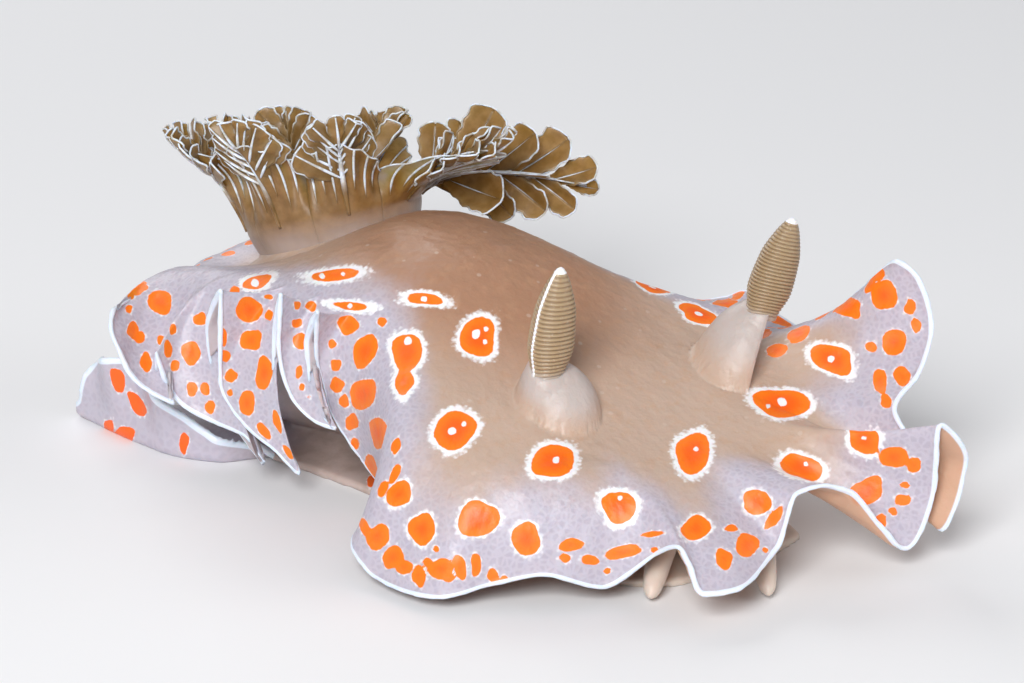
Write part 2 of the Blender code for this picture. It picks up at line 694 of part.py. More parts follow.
def make_gill_plume(index, angle, reach, rise, chance):
    centre, across, along, up = gill_frame()
    turn = math.radians(angle)
    out = -math.cos(turn) * along - math.sin(turn) * across
    side = up.cross(out)
    root = centre + out * GILL_RING_RADIUS + up * (GILL_CUP_HEIGHT + GAP)
    knee = root + out * reach * PLUME_KNEE[0] + up * max(rise * PLUME_KNEE[1], LEAST_KNEE_RISE)
    route = (root, knee, root + out * reach + up * rise)
    sections = []
    for i in range(PLUME_STEPS + 1):
        t = i / PLUME_STEPS
        first, second = frame_along(up if i == 0 else bezier_direction(route, t), side)
        radius = float(ease(t, RACHIS_RADIUS))
        sections.append(ring(bezier(route, t), first, second, radius, RACHIS_SIDES, RACHIS_FLATNESS))
    pieces = [new_object("rachis", loft(sections))]
    for i in range(PINNA_PAIRS):
        for hand in (-1, 1):
            stagger = PINNA_STAGGER if hand > 0 else 0
            t = PINNA_START + (PINNA_END - PINNA_START) * (i + stagger) / PINNA_PAIRS
            forward = bezier_direction(route, t)
            inner = forward.cross(side).normalized()
            spread = math.radians(chance.uniform(*PINNA_SPREAD))
            direction = (forward * math.cos(spread) + side * hand * math.sin(spread)).normalized()
            face = inner * PINNA_FACE[0] + forward * PINNA_FACE[1]
            face = (face - direction * direction.dot(face)).normalized()
            length = float(ease(t, PINNA_LENGTH)) * chance.uniform(*PINNA_VARIETY)
            pieces.append(pinna(bezier(route, t), direction, face, length, length * PINNA_WIDTH))
    join(f"gill_plume_{index}", pieces)


def make_gills():
    make_gill_base()
    chance = random.Random(SEED)
    for index, (angle, reach, rise) in enumerate(PLUMES, start=1):
        make_gill_plume(index, angle, reach, rise, chance)


def main():
    remove_all_objects()
    make_root()
    make_back()
    make_skirt()
    make_body()
    make_head()
    make_foot_and_tail()
    make_oral_tentacles()
    make_rhinophores()
    make_gills()


main()
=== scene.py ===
"""Finished surface of the still, life-size model of a marislas chromodorid.

The animal faces -Y and rests on the plane z = 0. Its right side is at -X.
Lengths below are in millimetres and angles in degrees. Angles round the mantle
start at its front, and 90 is the animal's right side. The meshes are in metres.
Places and sizes in the view are in pixels of a frame 1024 wide and 683 high.
"""
import math
import random

import bpy
import numpy as np
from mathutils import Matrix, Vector, noise
from mathutils.bvhtree import BVHTree

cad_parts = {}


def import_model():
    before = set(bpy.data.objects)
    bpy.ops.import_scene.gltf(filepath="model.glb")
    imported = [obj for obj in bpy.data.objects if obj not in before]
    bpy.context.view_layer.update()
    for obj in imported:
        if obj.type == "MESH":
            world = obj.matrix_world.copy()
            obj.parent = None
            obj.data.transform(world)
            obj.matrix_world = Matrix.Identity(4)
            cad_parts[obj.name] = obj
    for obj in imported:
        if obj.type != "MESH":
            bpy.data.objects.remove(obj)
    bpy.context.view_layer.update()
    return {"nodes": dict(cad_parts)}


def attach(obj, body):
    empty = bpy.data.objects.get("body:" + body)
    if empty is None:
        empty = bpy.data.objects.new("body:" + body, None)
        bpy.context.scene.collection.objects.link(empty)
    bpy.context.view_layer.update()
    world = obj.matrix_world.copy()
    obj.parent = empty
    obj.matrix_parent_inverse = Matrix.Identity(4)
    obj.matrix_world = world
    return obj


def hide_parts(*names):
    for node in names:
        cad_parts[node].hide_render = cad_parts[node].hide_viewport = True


MM = 0.001
LEAST_LENGTH, LEAST_OFFSET = 1e-12, 1e-9
SEED = 11

# Seeded phases run over about one turn, in radians
FULL_TURN = 6.28

# Camera
FRAME_WIDTH, FRAME_HEIGHT = 1024, 683
CAMERA_AZIMUTH = -42.0
CAMERA_ELEVATION = 20.0
CAMERA_DISTANCE = 200.0
CAMERA_TARGET = (0.0, -1.94, 9.0)
FOCAL_PIXELS = 3600.0
SENSOR_WIDTH = 36.0
CLIP_RANGE = (0.01, 20.0)

# Floor and lights: each lamp's name, place and size in metres, and power in watts
FLOOR_SIZE = 4.0
FLOOR_COLOUR = (0.86, 0.86, 0.87)
FLOOR_ROUGHNESS = 0.8
LAMPS = (
    ("key", (-0.30, -0.21, 0.26), 0.18, 1.95), ("fill", (0.30, -0.30, 0.2), 0.3, 0.5),
    ("rear", (0.1, 0.32, 0.26), 0.25, 0.6),
)
LIT_PLACE = (0.0, 0.0, 0.008)
SKY_COLOUR = (0.9, 0.93, 1.0)
SKY_STRENGTH = 0.19

# Back: the middle of the mantle, inside the shoulder where the skirt begins
FRONT_LENGTH = 15.5
REAR_LENGTH = 20.0
HEAD_BEND = 1.0
REAR_BEND = 4.0
BACK_HEIGHT = {-20: 9.5, -14: 12.0, -6: 14.8, 0: 14.0, 8: 10.6, 15.5: 8.5}
SHOULDER_HALF_WIDTH = {-20: 8.5, -8: 8.0, -1: 7.5, 8: 12.0, 15.5: 13.5}
SHOULDER_HEIGHT = {0: 6.5, 50: 7.5, 75: 9.5, 100: 12.0, 140: 11.0, 180: 9.0, 220: 10.5, 260: 11.5, 300: 9.5}
DOME_POWER = 2.3
BACK_THICKNESS = 2.4
# Rounds in which a level position is traced back to its place on the bent midline
HEIGHT_ROUNDS = 8

# Skirt: each fold's angle, how far its hem stands out from the shoulder, how far
# it rises above the shoulder or hangs below it, and how far it leans back round
FRONT_RUFFLES = {
    -4: (6.6, -3.6, 0.7), 1: (8.2, -4.3, -1.2), 5: (7.8, -4.4, -1.4), 8: (6.8, -3.2, -0.5),
    11: (5.9, -2.5, 0.3), 14: (4.2, -3.6, 0.6), 20: (3.2, -5.6, 0.0), 30: (3.1, -5.0, 0.0),
    38: (3.4, -5.7, -0.5), 46: (4.6, -6.5, -0.6), 56: (3.9, -7.0, -1.6), 62: (4.0, -6.6, -1.0),
    70: (2.4, -6.3, 0.5), 76: (1.2, -6.6, 1.0),
}
RIGHT_PLEATS = {
    86: (0.6, -8.6, -2.0), 95: (1.3, -7.1, -0.8), 96: (1.5, -5.7, -1.4), 97: (1.9, -3.5, -1.4),
    98: (3.0, 0.3, 0.1), 99: (2.4, -2.2, -1.3), 100: (2.0, -4.8, -1.1), 102: (1.9, -6.9, 1.3),
    103: (2.3, -6.7, 0.6), 104: (2.6, -6.1, -0.1), 105: (2.8, -5.0, -0.6), 106: (2.9, -3.0, -0.8),
    107: (2.9, 0.6, -0.3), 108: (2.2, -2.7, -1.5), 109: (2.1, -6.7, -1.1), 110: (2.2, -10.1, 1.0),
    112: (2.6, -9.0, 0.1), 114: (3.0, -8.1, -0.9), 116: (3.3, -6.0, -2.5), 117: (3.7, 0.1, -1.5),
    118: (3.0, -3.1, -3.5), 119: (2.6, -6.5, -3.0), 121: (2.6, -9.8, 1.8), 123: (2.9, -8.4, 0.9),
    126: (3.4, -8.0, -0.3), 130: (4.6, -6.9, -0.7), 132: (5.1, -5.7, -0.8), 134: (5.6, -3.8, -0.5),
    136: (5.2, -5.6, -0.8), 138: (5.2, -6.2, 0.9),
}
REAR_RUFFLES = {
    141: (5.2, -6.2, 2.9), 146: (6.0, -5.4, 3.4), 150: (6.6, -4.2, 3.8), 155: (6.8, -2.1, 4.5),
    161: (5.7, -0.5, 4.5), 165: (4.4, -0.4, 4.0), 170: (3.0, -2.2, 2.8), 178: (3.2, -5.5, 1.0),
    188: (4.0, -3.0, 0.0), 198: (3.8, -6.6, 0.0),
}
LEFT_PLEATS = {
    208: (4.6, -7.4, 0.0), 215: (4.6, -4.2, 0.0), 222: (4.0, -7.6, 0.0), 232: (3.6, -8.0, 0.0),
    240: (4.6, -4.6, 0.0), 248: (3.6, -8.2, 0.0), 256: (3.6, -8.0, 0.0), 264: (4.6, -4.4, 0.0),
    272: (4.0, -6.0, 0.0),
}
FAR_FLAPS = {
    281: (4.0, -2.6, -0.8), 290: (4.6, -1.2, 0.1), 293: (4.8, -0.4, 0.1), 297: (4.8, -1.0, 0.0),
    300: (5.0, -1.2, 0.1), 303: (5.2, 0.6, -1.9), 306: (5.9, 3.0, -3.4), 310: (7.3, 5.8, -4.6),
    313: (8.5, 5.3, -4.0), 318: (9.7, 2.8, -2.2), 321: (9.2, 1.1, -1.9), 324: (8.1, -0.2, -2.2),
    326: (9.5, -2.0, -2.5), 328.5: (11.5, -5.5, -2.8), 330: (12.4, -3.2, -1.6), 332: (12.7, -0.9, -0.7),
    334.4: (11.7, 1.3, -1.0), 336.4: (11.5, -0.9, 0.2), 338: (11.3, -2.8, 1.2), 341: (10.3, -5.5, 1.8),
    344: (9.2, -3.8, 1.8), 347: (8.0, -1.5, 1.6), 350: (7.1, -0.8, 1.1), 352.6: (6.6, -1.0, 0.8),
}
SKIRT_FOLDS = {**FRONT_RUFFLES, **RIGHT_PLEATS, **REAR_RUFFLES, **LEFT_PLEATS, **FAR_FLAPS}
# The skirt leaves the shoulder on the back's slope and bends over to its hem. Slopes
# are taken over small steps in the share of the way out and in degrees round
SKIRT_BULGE = 0.45
SLOPE_STEP = 0.005
TURN_STEP = 0.05

# Pale margin of the mantle: in front it fades over a span in from the hem, and at the
# sides over a span out from the shoulder. The share says by angle how much the second counts
MARGIN_FROM_HEM = (1.8, 8.5)
MARGIN_FROM_SHOULDER = (-4.2, 0.6)
SIDE_SHARE = {0: 0.0, 46: 0.0, 72: 1.0, 285: 1.0, 305: 0.0}

# Mantle's mesh: columns round it, rows out over the back and skirt, round the hem's
# rim and back in below, and how thick the skirt is at the shoulder and at the hem.
# Where folds lie close, the underside takes a share of the room between them
COLUMN_STEPS = 18000
MANTLE_COLUMNS = 1800
SHOULDER_WEIGHT = 0.5
DOME_ROWS = 84
SKIRT_ROWS = 54
UNDER_ROWS = 34
PROBE_ROWS = 30
INNER_ROWS = (0.97, 0.9, 0.78, 0.6, 0.4, 0.2)
BEAD_RADIUS = 0.14
BEAD_SINK = 0.5
BEAD_TURNS = (120, 90, 60, 30, 0, -30, -60, -90)
BEAD_ROWS_BELOW = 2
UNDER_THICKNESS = (0.6, 0.3)
UNDER_SPAN = 0.6
ROOM_SHARE = 0.35
ROOM_REACH = 3.0
ROOM_START = 0.03
SKIN_BUMPS = ((1.1, 0.05), (0.42, 0.028))
FAR_FROM_HEM = 20.0
HUMP_REACH = (9.0, 11.0, 9.0)

# Rhinophores: base on the back, axis of the club, height of its sheath, how far the
# sheath spreads round a shifted centre, where the pale line faces, and number of ridges
RHINOPHORES = {
    "right": {"base": (-4.36, -9.27), "axis": (0.4, -0.9, 7.6), "sheath": 2.0, "spread": 2.1,
              "shift": (0.7, -0.7), "line": (-0.93, 0.0), "lamellae": 25},
    "left": {"base": (7.9, -12.2), "axis": (2.2, -1.3, 8.3), "sheath": 3.5, "spread": 2.4,
             "shift": (-0.3, 0.3), "line": (0.95, -0.45), "lamellae": 28},
}
SHEATH_ROUNDNESS = 1.35
SHEATH_PLATEAU, SHEATH_BRIM = 0.9, 0.8
# Clubs: radius by share of their length, how deep they stand in their sheaths, how
# their ends round off, and the shape of their ridges and pale line
CLUB_PROFILE = {0: 0.95, 0.3: 1.33, 0.6: 1.2, 0.85: 0.74, 0.97: 0.36, 1: 0.22}
CLUB_SINK = 0.5
CLUB_TIP = 0.132
CLUB_ROUNDING = 0.1
PALE_TIP = (0.955, 0.985)
CLUB_SQUEEZE = 0.88
CLUB_COLUMNS = 72
CLUB_ROWS_EACH = 10
LAMELLA_DEPTH = 0.1
LAMELLA_SAG = 0.035
RIDGE_POWER = 0.7
RIDGES_START, RIDGES_END = (0, 0.05), (0.93, 0.99)
LINE_WIDTH = 0.11
LINE_HEIGHT = 0.07

# Gills: a leaning cup on the back, its radii and heights from its foot over the rim and
# in, and the plumes round its rim with angle, reach and rise of each
GILL_PLACE = (0.2, 13.3)
GILL_TILT = 18
GILL_CUP_HEIGHT = 1.2
GILL_RING_RADIUS = 5.2
PLUME_GAP = 0.3
CUP_PROFILE = (
    (5.9, -0.12), (5.4, 0.0), (4.9, 0.12), (4.6, 0.3), (4.6, 0.6), (4.7, 0.9), (4.8, 1.2), (4.75, 1.35),
    (4.6, 1.35), (4.3, 1.15), (3.8, 0.9), (2.8, 0.7), (1.4, 0.65), (0.8, 0.75), (0.65, 1.2),
    (0.4, 1.35), (0.05, 1.3),
)
CUP_FOOT = (4.2, 0.5)
CUP_LOBES = 0.015
CUP_LOBES_TOP = 1.7
CUP_LOBES_TURN = 0.6
CUP_SINK = 0.6
CUP_COLUMNS = 144
PLUMES = (
    (-18, 6.7, 1.9), (-50, 9.2, -1.5), (-84, 8.8, -0.5), (-120, 5.0, 3.8), (-158, 2.4, 4.9), (165, 2.0, 5.2),
    (122, 2.6, 5.4), (75, 2.4, 5.2), (28, 1.6, 4.1),
)
# Leaves of each plume: turn about its midrib from level towards upright, where they
# start along it, and their size
PLUME_LEAVES = (
    (20, 0.35, 1.1), (80, 0.1, 1.45), (60, 0.25, 1.3), (0, 0.42, 1.0), (0, 0.42, 1.0), (0, 0.42, 1.0),
    (-20, 0.38, 1.1), (0, 0.42, 1.0), (0, 0.42, 1.0),
)
# Midribs: where they bend, as shares of reach and rise, and their radius
PLUME_KNEE = (0.25, 0.7)
LEAST_KNEE_RISE = 1.7
RACHIS_RADIUS = {0: 0.1, 0.3: 0.17, 0.6: 0.14, 1: 0.07}
RACHIS_ROWS, RACHIS_SIDES = 28, 12
RACHIS_PALE = (0.2, 0.5)
# Membranes between the plumes: foot inside the cup, height at their middle and sides,
# folds, fine waves, and veins with the share across and the share up where each starts
LOBE_ROWS, LOBE_COLUMNS, LOBE_FOOT_ROWS = 40, 56, 8
LOBE_FOOT = (1.7, 0.55)
LOBE_FOOT_SHARE = 0.25
LOBE_TOP = (1.0, 0.62)
LOBE_FOLD = 1.5
LOBE_PLEATS = (5, 0.16)
LOBE_SCALLOP = (17, 0.035)
LOBE_THICKNESS = 0.08
LOBE_TOP_POWER, LOBE_FOOT_POWER, LOBE_EDGE_POWER = 1.6, 1.5, 6
LOBE_FOLD_START = (0.0, 0.6)
LOBE_RIB_GROWTH, LOBE_RIB_PALE = (0, 0.35), (0.0, 0.3)
LOBE_RIB_RADIUS = (0.02, 0.075)
LOBE_RIBS = ((-0.78, 0.4), (-0.52, 0.2), (-0.26, 0.3), (0.24, 0.16), (0.5, 0.32), (0.77, 0.24))
# Leaves: their places and turns along the midrib, and their shape, with seeded ranges
LEAF_PAIRS = 5
LEAF_STAGGER = 0.5
LEAF_END = 0.96
LEAF_SPREAD = {0: 52, 0.5: 38, 1: 26}
LEAF_TURN = (-6, 6)
LEAF_DIP = (-0.1, 0.25)
LEAF_TILT = 0.5
LEAF_LENGTH = {0: 2.7, 0.5: 2.6, 1: 1.9}
LEAF_WIDTH = 0.33
LEAF_PROFILE = {0: 0.35, 0.2: 0.6, 0.55: 0.95, 0.8: 1.0, 0.93: 0.7, 1: 0.15}
LEAF_BEND = 0.28
LEAF_FOLD = 38
LEAF_RUFFLE = 0.1
LEAF_SCALLOP = 0.07
LEAF_FOLD_RANGE = (0.6, 1.25)
LEAF_SCALLOPS = (26, 34)
LEAF_RUFFLES = (12, 17)
LEAF_RUFFLE_START = (0.05, 0.4)
LEAF_PHASE = (0, 6)
LEAF_EDGE_GROWTH, LEAF_EDGE_LEAST = (0.2, 0.6), 0.01
LEAF_EDGE_PALE = (0.45, 0.75)
LEAF_SIZE_RANGE = (0.88, 1.12)
LEAF_TWIST_START = (0.05, 0.4)
LAST_LEAF = 0.94
LEAF_ROWS, LEAF_COLUMNS = 20, 12
LEAF_THICKNESS = 0.05
# Pale edges and veins, and a direction that no tube starts along
EDGE_RADIUS, EDGE_SIDES = 0.05, 5
TUBE_SIDES = 6
ASKEW = (0.31, 0.2, 0.93)
RIB_RADIUS = {0: 0.05, 0.3: 0.09, 1: 0.045}

# Body, head, foot and tail, each value by its station along y
MIDLINE = {-19: 2.0, -11: 1.0, 0: 0.0, 8: -0.6, 15: -2.2}
TRUNK_HALF_WIDTH = {-18.4: 1.6, -17.5: 2.9, -15: 4.0, -11: 5.2, -4: 5.4, 4: 5.2, 12: 5.0, 14.5: 3.6}
TRUNK_FLOOR = {-18.4: 2.0, -17: 1.5, -14: 1.0, 12: 0.9, 14.5: 2.5}
TRUNK_TOP = {-18.4: 3.3, -17: 4.3, -15: 5.6, -11: 6.6, -6: 8.0, 0: 11.0, 6: 11.8, 11: 9.8, 14.5: 7.6}
TRUNK_SIDES = 48
TRUNK_SQUARENESS = 0.75
TRUNK_ENDS = (14.5, -18.4)
TRUNK_STATIONS = 60
MOUTH_DEPTH = 0.45
MOUTH_FOLDS = ((0.92, 0.28), (0.75, 0.42), (0.5, 0.48), (0.34, 0.3), (0.26, -0.3), (0.12, -0.5))
# Foot: how far the sole reaches left and right, and the margin on its right, which
# grows longer, turns up and waves along the tail
SOLE_LEFT = {
    -18.3: 4.5, -17.6: 7.2, -15: 8.0, -8: 6.4, 0: 5.9, 8: 5.2, 14: 3.4, 18: -1.5, 21: -6.5, 24: -10.6,
}
SOLE_RIGHT = {
    -18.3: 0.5, -17.6: -1.8, -15: -3.6, -8: -4.6, 0: -5.0, 8: -5.7, 11: -6.6, 12.4: -9.6, 16: -11.2,
    20: -11.4, 24: -11.3,
}
MARGIN_LENGTH = {
    -18.3: 0.8, -15: 1.2, 8: 1.2, 11.4: 1.6, 13: 2.2, 16: 3.9, 19: 5.2, 21: 4.7, 22.8: 3.3, 24: 1.0,
}
MARGIN_RISE = {8: 0, 10: 10, 13: 75, 18: 88, 24: 80}
MARGIN_BEND = 2.0
MARGIN_TURN = 0.5
SOLE_HUMP = {-18.3: 0.6, -15: 1.3, 12: 1.3, 15: 0.9, 24: 0.6}
SOLE_EDGE, SOLE_SLANT = 0.45, 0.5
SOLE_COLUMNS = 24
MARGIN_COLUMNS = 12
SOLE_ENDS = (-18.3, 24.0)
SOLE_STATIONS = 170
TAIL_WAVE = (0.45, 1.5, 4, 1.5)
TAIL_WAVE_START = (11, 15)
RIM_POINT = SOLE_COLUMNS + MARGIN_COLUMNS
RIM_START, RIM_STEPS = 10.5, 150
ORAL_TENTACLES = (((-2.6, -16.6, 1.9), (-5.1, -18.4, 0.35)), ((2.2, -19.2, 2.0), (-0.2, -22.3, 0.35)))
TENTACLE_ROOT = 1.2
TENTACLE_PROFILE = {0: 0.95, 0.35: 0.78, 0.75: 0.58, 0.92: 0.4, 1: 0.1}
TENTACLE_SIDES, TENTACLE_ROWS = 24, 24
TAIL_MARGIN_START, TAIL_MARGIN_INNER = (9.5, 12.5), (-6.0, -3.5)
TAIL_START, HEAD_END = (15.0, 18.0), (-17.5, -13.0)
FLESH_VOXEL = 0.16
FLESH_SMOOTHING = 6

# Spots where the view shows them: centre, width, height and tilt, anticlockwise
RINGED_SPOTS = (
    (478, 337, 38, 38, 0), (407, 352, 32, 36, 0), (404, 381, 18, 28, 0), (455, 430, 46, 35, 15),
    (553, 461, 44, 33, 20), (693, 453, 36, 40, 0), (782, 403, 52, 31, -5), (832, 359, 43, 29, -20),
    (802, 467, 42, 25, -25), (864, 439, 37, 25, -30), (619, 507, 35, 32, 0), (425, 299, 36, 12, -5),
    (335, 275, 48, 12, 5), (257, 282, 30, 13, 20), (351, 306, 36, 8, -5),
)
THIN_RING_SPOTS = (
    (478, 519, 42, 36, 30), (526, 539, 30, 33, 20), (757, 502, 33, 23, -15), (696, 528, 28, 26, 0),
    (422, 529, 26, 34, 0), (399, 494, 28, 24, 45),
)
PUPILS = (
    (476, 334, 9), (486, 329, 5), (485, 342, 5), (408, 341, 8), (452, 431, 8), (464, 424, 5),
    (556, 460, 7), (696, 449, 5), (782, 402, 9), (768, 406, 5), (831, 359, 7), (806, 464, 5),
    (864, 438, 5), (620, 498, 5), (424, 299, 6), (322, 276, 6), (343, 274, 4), (255, 283, 8),
    (350, 306, 5),
)
MARGIN_SPOTS = (
    (378, 433, 22, 31, 0), (352, 422, 13, 18, 0), (355, 444, 9, 13, 0), (372, 466, 15, 24, 0),
    (371, 481, 9, 12, 0), (383, 489, 9, 20, -20), (396, 446, 9, 18, -15), (395, 474, 9, 22, -20),
    (378, 537, 25, 25, 30), (365, 528, 10, 21, 20), (393, 557, 22, 22, 30), (404, 567, 18, 16, -20),
    (419, 576, 14, 22, 0), (441, 569, 25, 22, 20), (460, 567, 13, 26, 20), (476, 565, 11, 24, 0),
    (493, 576, 12, 15, 0), (504, 580, 9, 11, 0), (436, 549, 7, 7, 0), (428, 562, 12, 8, 0),
    (449, 578, 14, 8, 0), (571, 545, 24, 14, 10), (565, 558, 13, 8, 0), (590, 560, 18, 11, 0),
    (623, 552, 37, 14, 15), (652, 534, 25, 6, 5), (607, 571, 9, 6, 0), (654, 550, 9, 6, 0),
    (724, 559, 17, 22, 0), (747, 545, 23, 25, 0), (731, 528, 14, 8, 0), (774, 518, 11, 29, -35),
    (765, 550, 7, 6, 0), (867, 491, 36, 26, 20), (894, 457, 28, 23, 10), (881, 521, 13, 15, 0),
    (903, 500, 17, 13, 0), (893, 511, 9, 9, 0), (914, 465, 16, 15, 0), (905, 485, 10, 7, 0),
    (848, 307, 27, 19, 10), (878, 273, 15, 15, 0), (884, 295, 25, 33, 0), (894, 342, 26, 26, 0),
    (871, 347, 12, 11, 0), (880, 381, 14, 27, 0), (910, 307, 13, 15, 0), (916, 325, 11, 15, 0),
    (902, 376, 16, 22, 0), (886, 401, 13, 14, 0), (348, 325, 21, 20, 0), (365, 351, 23, 36, -15),
    (363, 394, 25, 34, -25), (332, 344, 8, 10, 0), (336, 365, 11, 13, 0), (337, 385, 15, 15, 0),
    (344, 401, 11, 13, 0), (382, 322, 9, 11, 0), (311, 306, 12, 10, 0), (297, 305, 7, 9, 0),
    (297, 323, 11, 10, 0), (300, 341, 14, 18, 0), (299, 372, 8, 13, 0), (302, 387, 6, 8, 0),
    (309, 397, 4, 4, 0), (249, 310, 28, 25, 20), (251, 340, 22, 22, 0), (264, 373, 18, 33, 0),
    (247, 403, 16, 27, 0), (235, 291, 10, 11, 0), (223, 337, 9, 19, 0), (225, 356, 11, 13, 0),
    (231, 376, 13, 14, 0), (230, 393, 6, 8, 0), (269, 315, 8, 12, 0), (269, 297, 9, 6, 0),
    (264, 431, 9, 22, 35), (277, 421, 8, 22, 15), (288, 452, 6, 18, 30), (160, 302, 25, 25, 0),
    (143, 287, 11, 8, 0), (131, 296, 7, 8, 0), (129, 309, 7, 9, 0), (133, 330, 13, 17, 0),
    (139, 337, 13, 13, 0), (146, 362, 12, 20, 0), (161, 340, 9, 10, 0), (173, 329, 7, 12, 0),
    (168, 349, 9, 18, 0), (191, 353, 20, 24, 0), (175, 366, 10, 12, 0), (200, 319, 13, 15, 0),
    (192, 389, 12, 15, 0), (205, 389, 11, 13, 0), (210, 407, 12, 13, 0), (722, 302, 20, 7, 20),
    (738, 295, 14, 8, 20), (118, 380, 14, 27, 15), (137, 404, 13, 29, 35), (124, 435, 23, 17, 0),
    (109, 427, 11, 15, 0), (184, 443, 10, 22, 0),
)
# Spots on the side away from the view: ringed ones as angle and share of the way to the
# shoulder, and a seeded scatter on the skirt between two angles
FAR_RINGED_SPOTS = ((262, 0.97), (236, 0.98), (216, 0.99), (284, 0.97), (298, 0.93))
FAR_SPOT_ANGLES = (164, 312)
FAR_SPOT_COUNT = 900
FAR_SPOT_GAP = 0.3
FAR_SPOT_SIZE = (0.3, 0.85)
FAR_SPOT_REACH = (0.02, 0.9)
FAR_SPOT_STRETCH = (0.85, 1.15)
FAR_PUPIL_RADIUS = 0.24
RINGED_SPOT_SIZE = 1.15
RINGED_SPOT_SHARE = (0.85, 1.1)
# Rough direction out of the skin at a far spot: its x, a share of its y, and a height
OUT_ALONG, OUT_HEIGHT = 0.2, 4.0
RING_WIDTH, THIN_RING_WIDTH, HALO_WIDTH = 0.31, 0.14, 0.02
# Edges of spots: depth and numbers of their lobes, the limit for a slim spot's scale,
# how far round a spot its distances are kept, and its greatest length on slanting skin.
# Far is the distance where there is no spot
SPOT_LOBES = 0.11
SPOT_LOBE_RANGE = (0.3, 1.0)
SPOT_LOBE_COUNTS = (2, 3, 4)
SLIM_SPOT = 1.6
SPOT_REACH = 2.2
LONGEST_SPOT = 2.6
FAR = 3.0
PIXELS_PER_MM = 17.0

# Colours
TAN = (0.40, 0.215, 0.13)
GREY_TAN = (0.53, 0.385, 0.30)
WARM_NET = (0.52, 0.30, 0.175)
PALE_DOT = (0.62, 0.50, 0.42)
LAVENDER = (0.53, 0.49, 0.565)
CELL_GREY = (0.43, 0.385, 0.465)
WHITE = (0.90, 0.90, 0.92)
RIM_WHITE = (0.76, 0.83, 0.95)
ORANGE = (1.0, 0.20, 0.0)
RED_ORANGE = (0.98, 0.13, 0.0)
PEACH = (0.60, 0.36, 0.24)
UNDER_ORANGE = (0.68, 0.20, 0.05)
FOLD_GREY = (0.50, 0.43, 0.45)
SHEATH_GREY = (0.50, 0.44, 0.42)
FLANK_BROWN, FLANK_PALE = (0.44, 0.34, 0.30), (0.54, 0.43, 0.39)
HEAD_PALE = (0.68, 0.57, 0.49)
# Club's brown in its grooves and on its ridges: the darker groove colour is partly the club's own brown,
# partly painted shade in the grooves
CLUB_SHADED_VALLEY, CLUB_RIDGE = (0.28, 0.185, 0.10), (0.39, 0.28, 0.165)
CLUB_DUST = (0.62, 0.55, 0.46)
GILL_DARK, GILL_BROWN = (0.17, 0.09, 0.022), (0.26, 0.15, 0.055)
GILL_EDGE = (0.38, 0.27, 0.15)
GILL_STEM = (0.48, 0.37, 0.33)
VEIN_GREY, VEIN_WHITE = (0.56, 0.52, 0.48), (0.86, 0.90, 0.95)
CUP_LOW, CUP_HIGH = (0.54, 0.38, 0.28), (0.58, 0.48, 0.46)
CUP_MOTTLE = (0.62, 0.54, 0.52)

# How far red, green and blue light spread in the flesh, as shares of each skin's depth
SKIN_GLOW = (1.0, 0.5, 0.35)
CLUB_GLOW = (1.0, 0.6, 0.35)
GILL_GLOW = (1.0, 0.6, 0.3)
CUP_GLOW = (1.0, 0.6, 0.4)
COAT_ROUGHNESS = 0.25


def ease(place, knots):
    """Smooth curve with no overshoot through the values at some places, level beyond the ends."""
    places = np.array(sorted(knots), float)
    values = np.array([knots[key] for key in sorted(knots)], float)
    steps = np.diff(values) / np.diff(places)
    slopes = np.zeros(len(places))
    before, after = steps[:-1], steps[1:]
    same_way = before * after > 0
    slopes[1:-1][same_way] = 2 * (before * after)[same_way] / (before + after)[same_way]
    place = np.clip(place, places[0], places[-1])
    i = np.clip(np.searchsorted(places, place) - 1, 0, len(places) - 2)
    span = places[i + 1] - places[i]
    t = (place - places[i]) / span
    return ((2 * t**3 - 3 * t**2 + 1) * values[i] + (t**3 - 2 * t**2 + t) * span * slopes[i]
            + (3 * t**2 - 2 * t**3) * values[i + 1] + (t**3 - t**2) * span * slopes[i + 1])


def circle_ease(angle, knots):
    """The same curve closed round a full turn."""
    turns = {key + turn: value for key, value in knots.items() for turn in (-360, 0, 360)}
    return ease((angle + 180) % 360 - 180, turns)


def smoothstep(value, low, high):
    """Smooth step from 0 to 1 as the value goes from low to high."""
    t = np.clip((value - low) / (high - low), 0, 1)
    return t * t * (3 - 2 * t)


def unit(vectors):
    """Vectors of length 1 in the same directions."""
    return vectors / (np.linalg.norm(vectors, axis=-1, keepdims=True) + LEAST_LENGTH)


def place_on_back(along, side):
    """Level position of a place ahead of the hump and to the right of the bent midline."""
    bend = np.where(along > 0, HEAD_BEND / FRONT_LENGTH**2, REAR_BEND / REAR_LENGTH**2)
    slope = -2 * bend * along
    norm = np.sqrt(1 + slope**2)
    return np.stack([-bend * along**2 - side / norm, -along - side * slope / norm], -1)


def dome(r, angle):
    """Point of the back's surface: r is 0 on the hump and 1 at the shoulder."""
    turn = np.radians(angle)
    along = r * np.cos(turn) * np.where(np.cos(turn) > 0, FRONT_LENGTH, REAR_LENGTH)
    side = r * np.sin(turn) * ease(along, SHOULDER_HALF_WIDTH)
    fall = r**DOME_POWER
    height = ease(along, BACK_HEIGHT) * (1 - fall) + circle_ease(angle, SHOULDER_HEIGHT) * fall
    return np.concatenate([place_on_back(along, side), height[..., None]], -1)


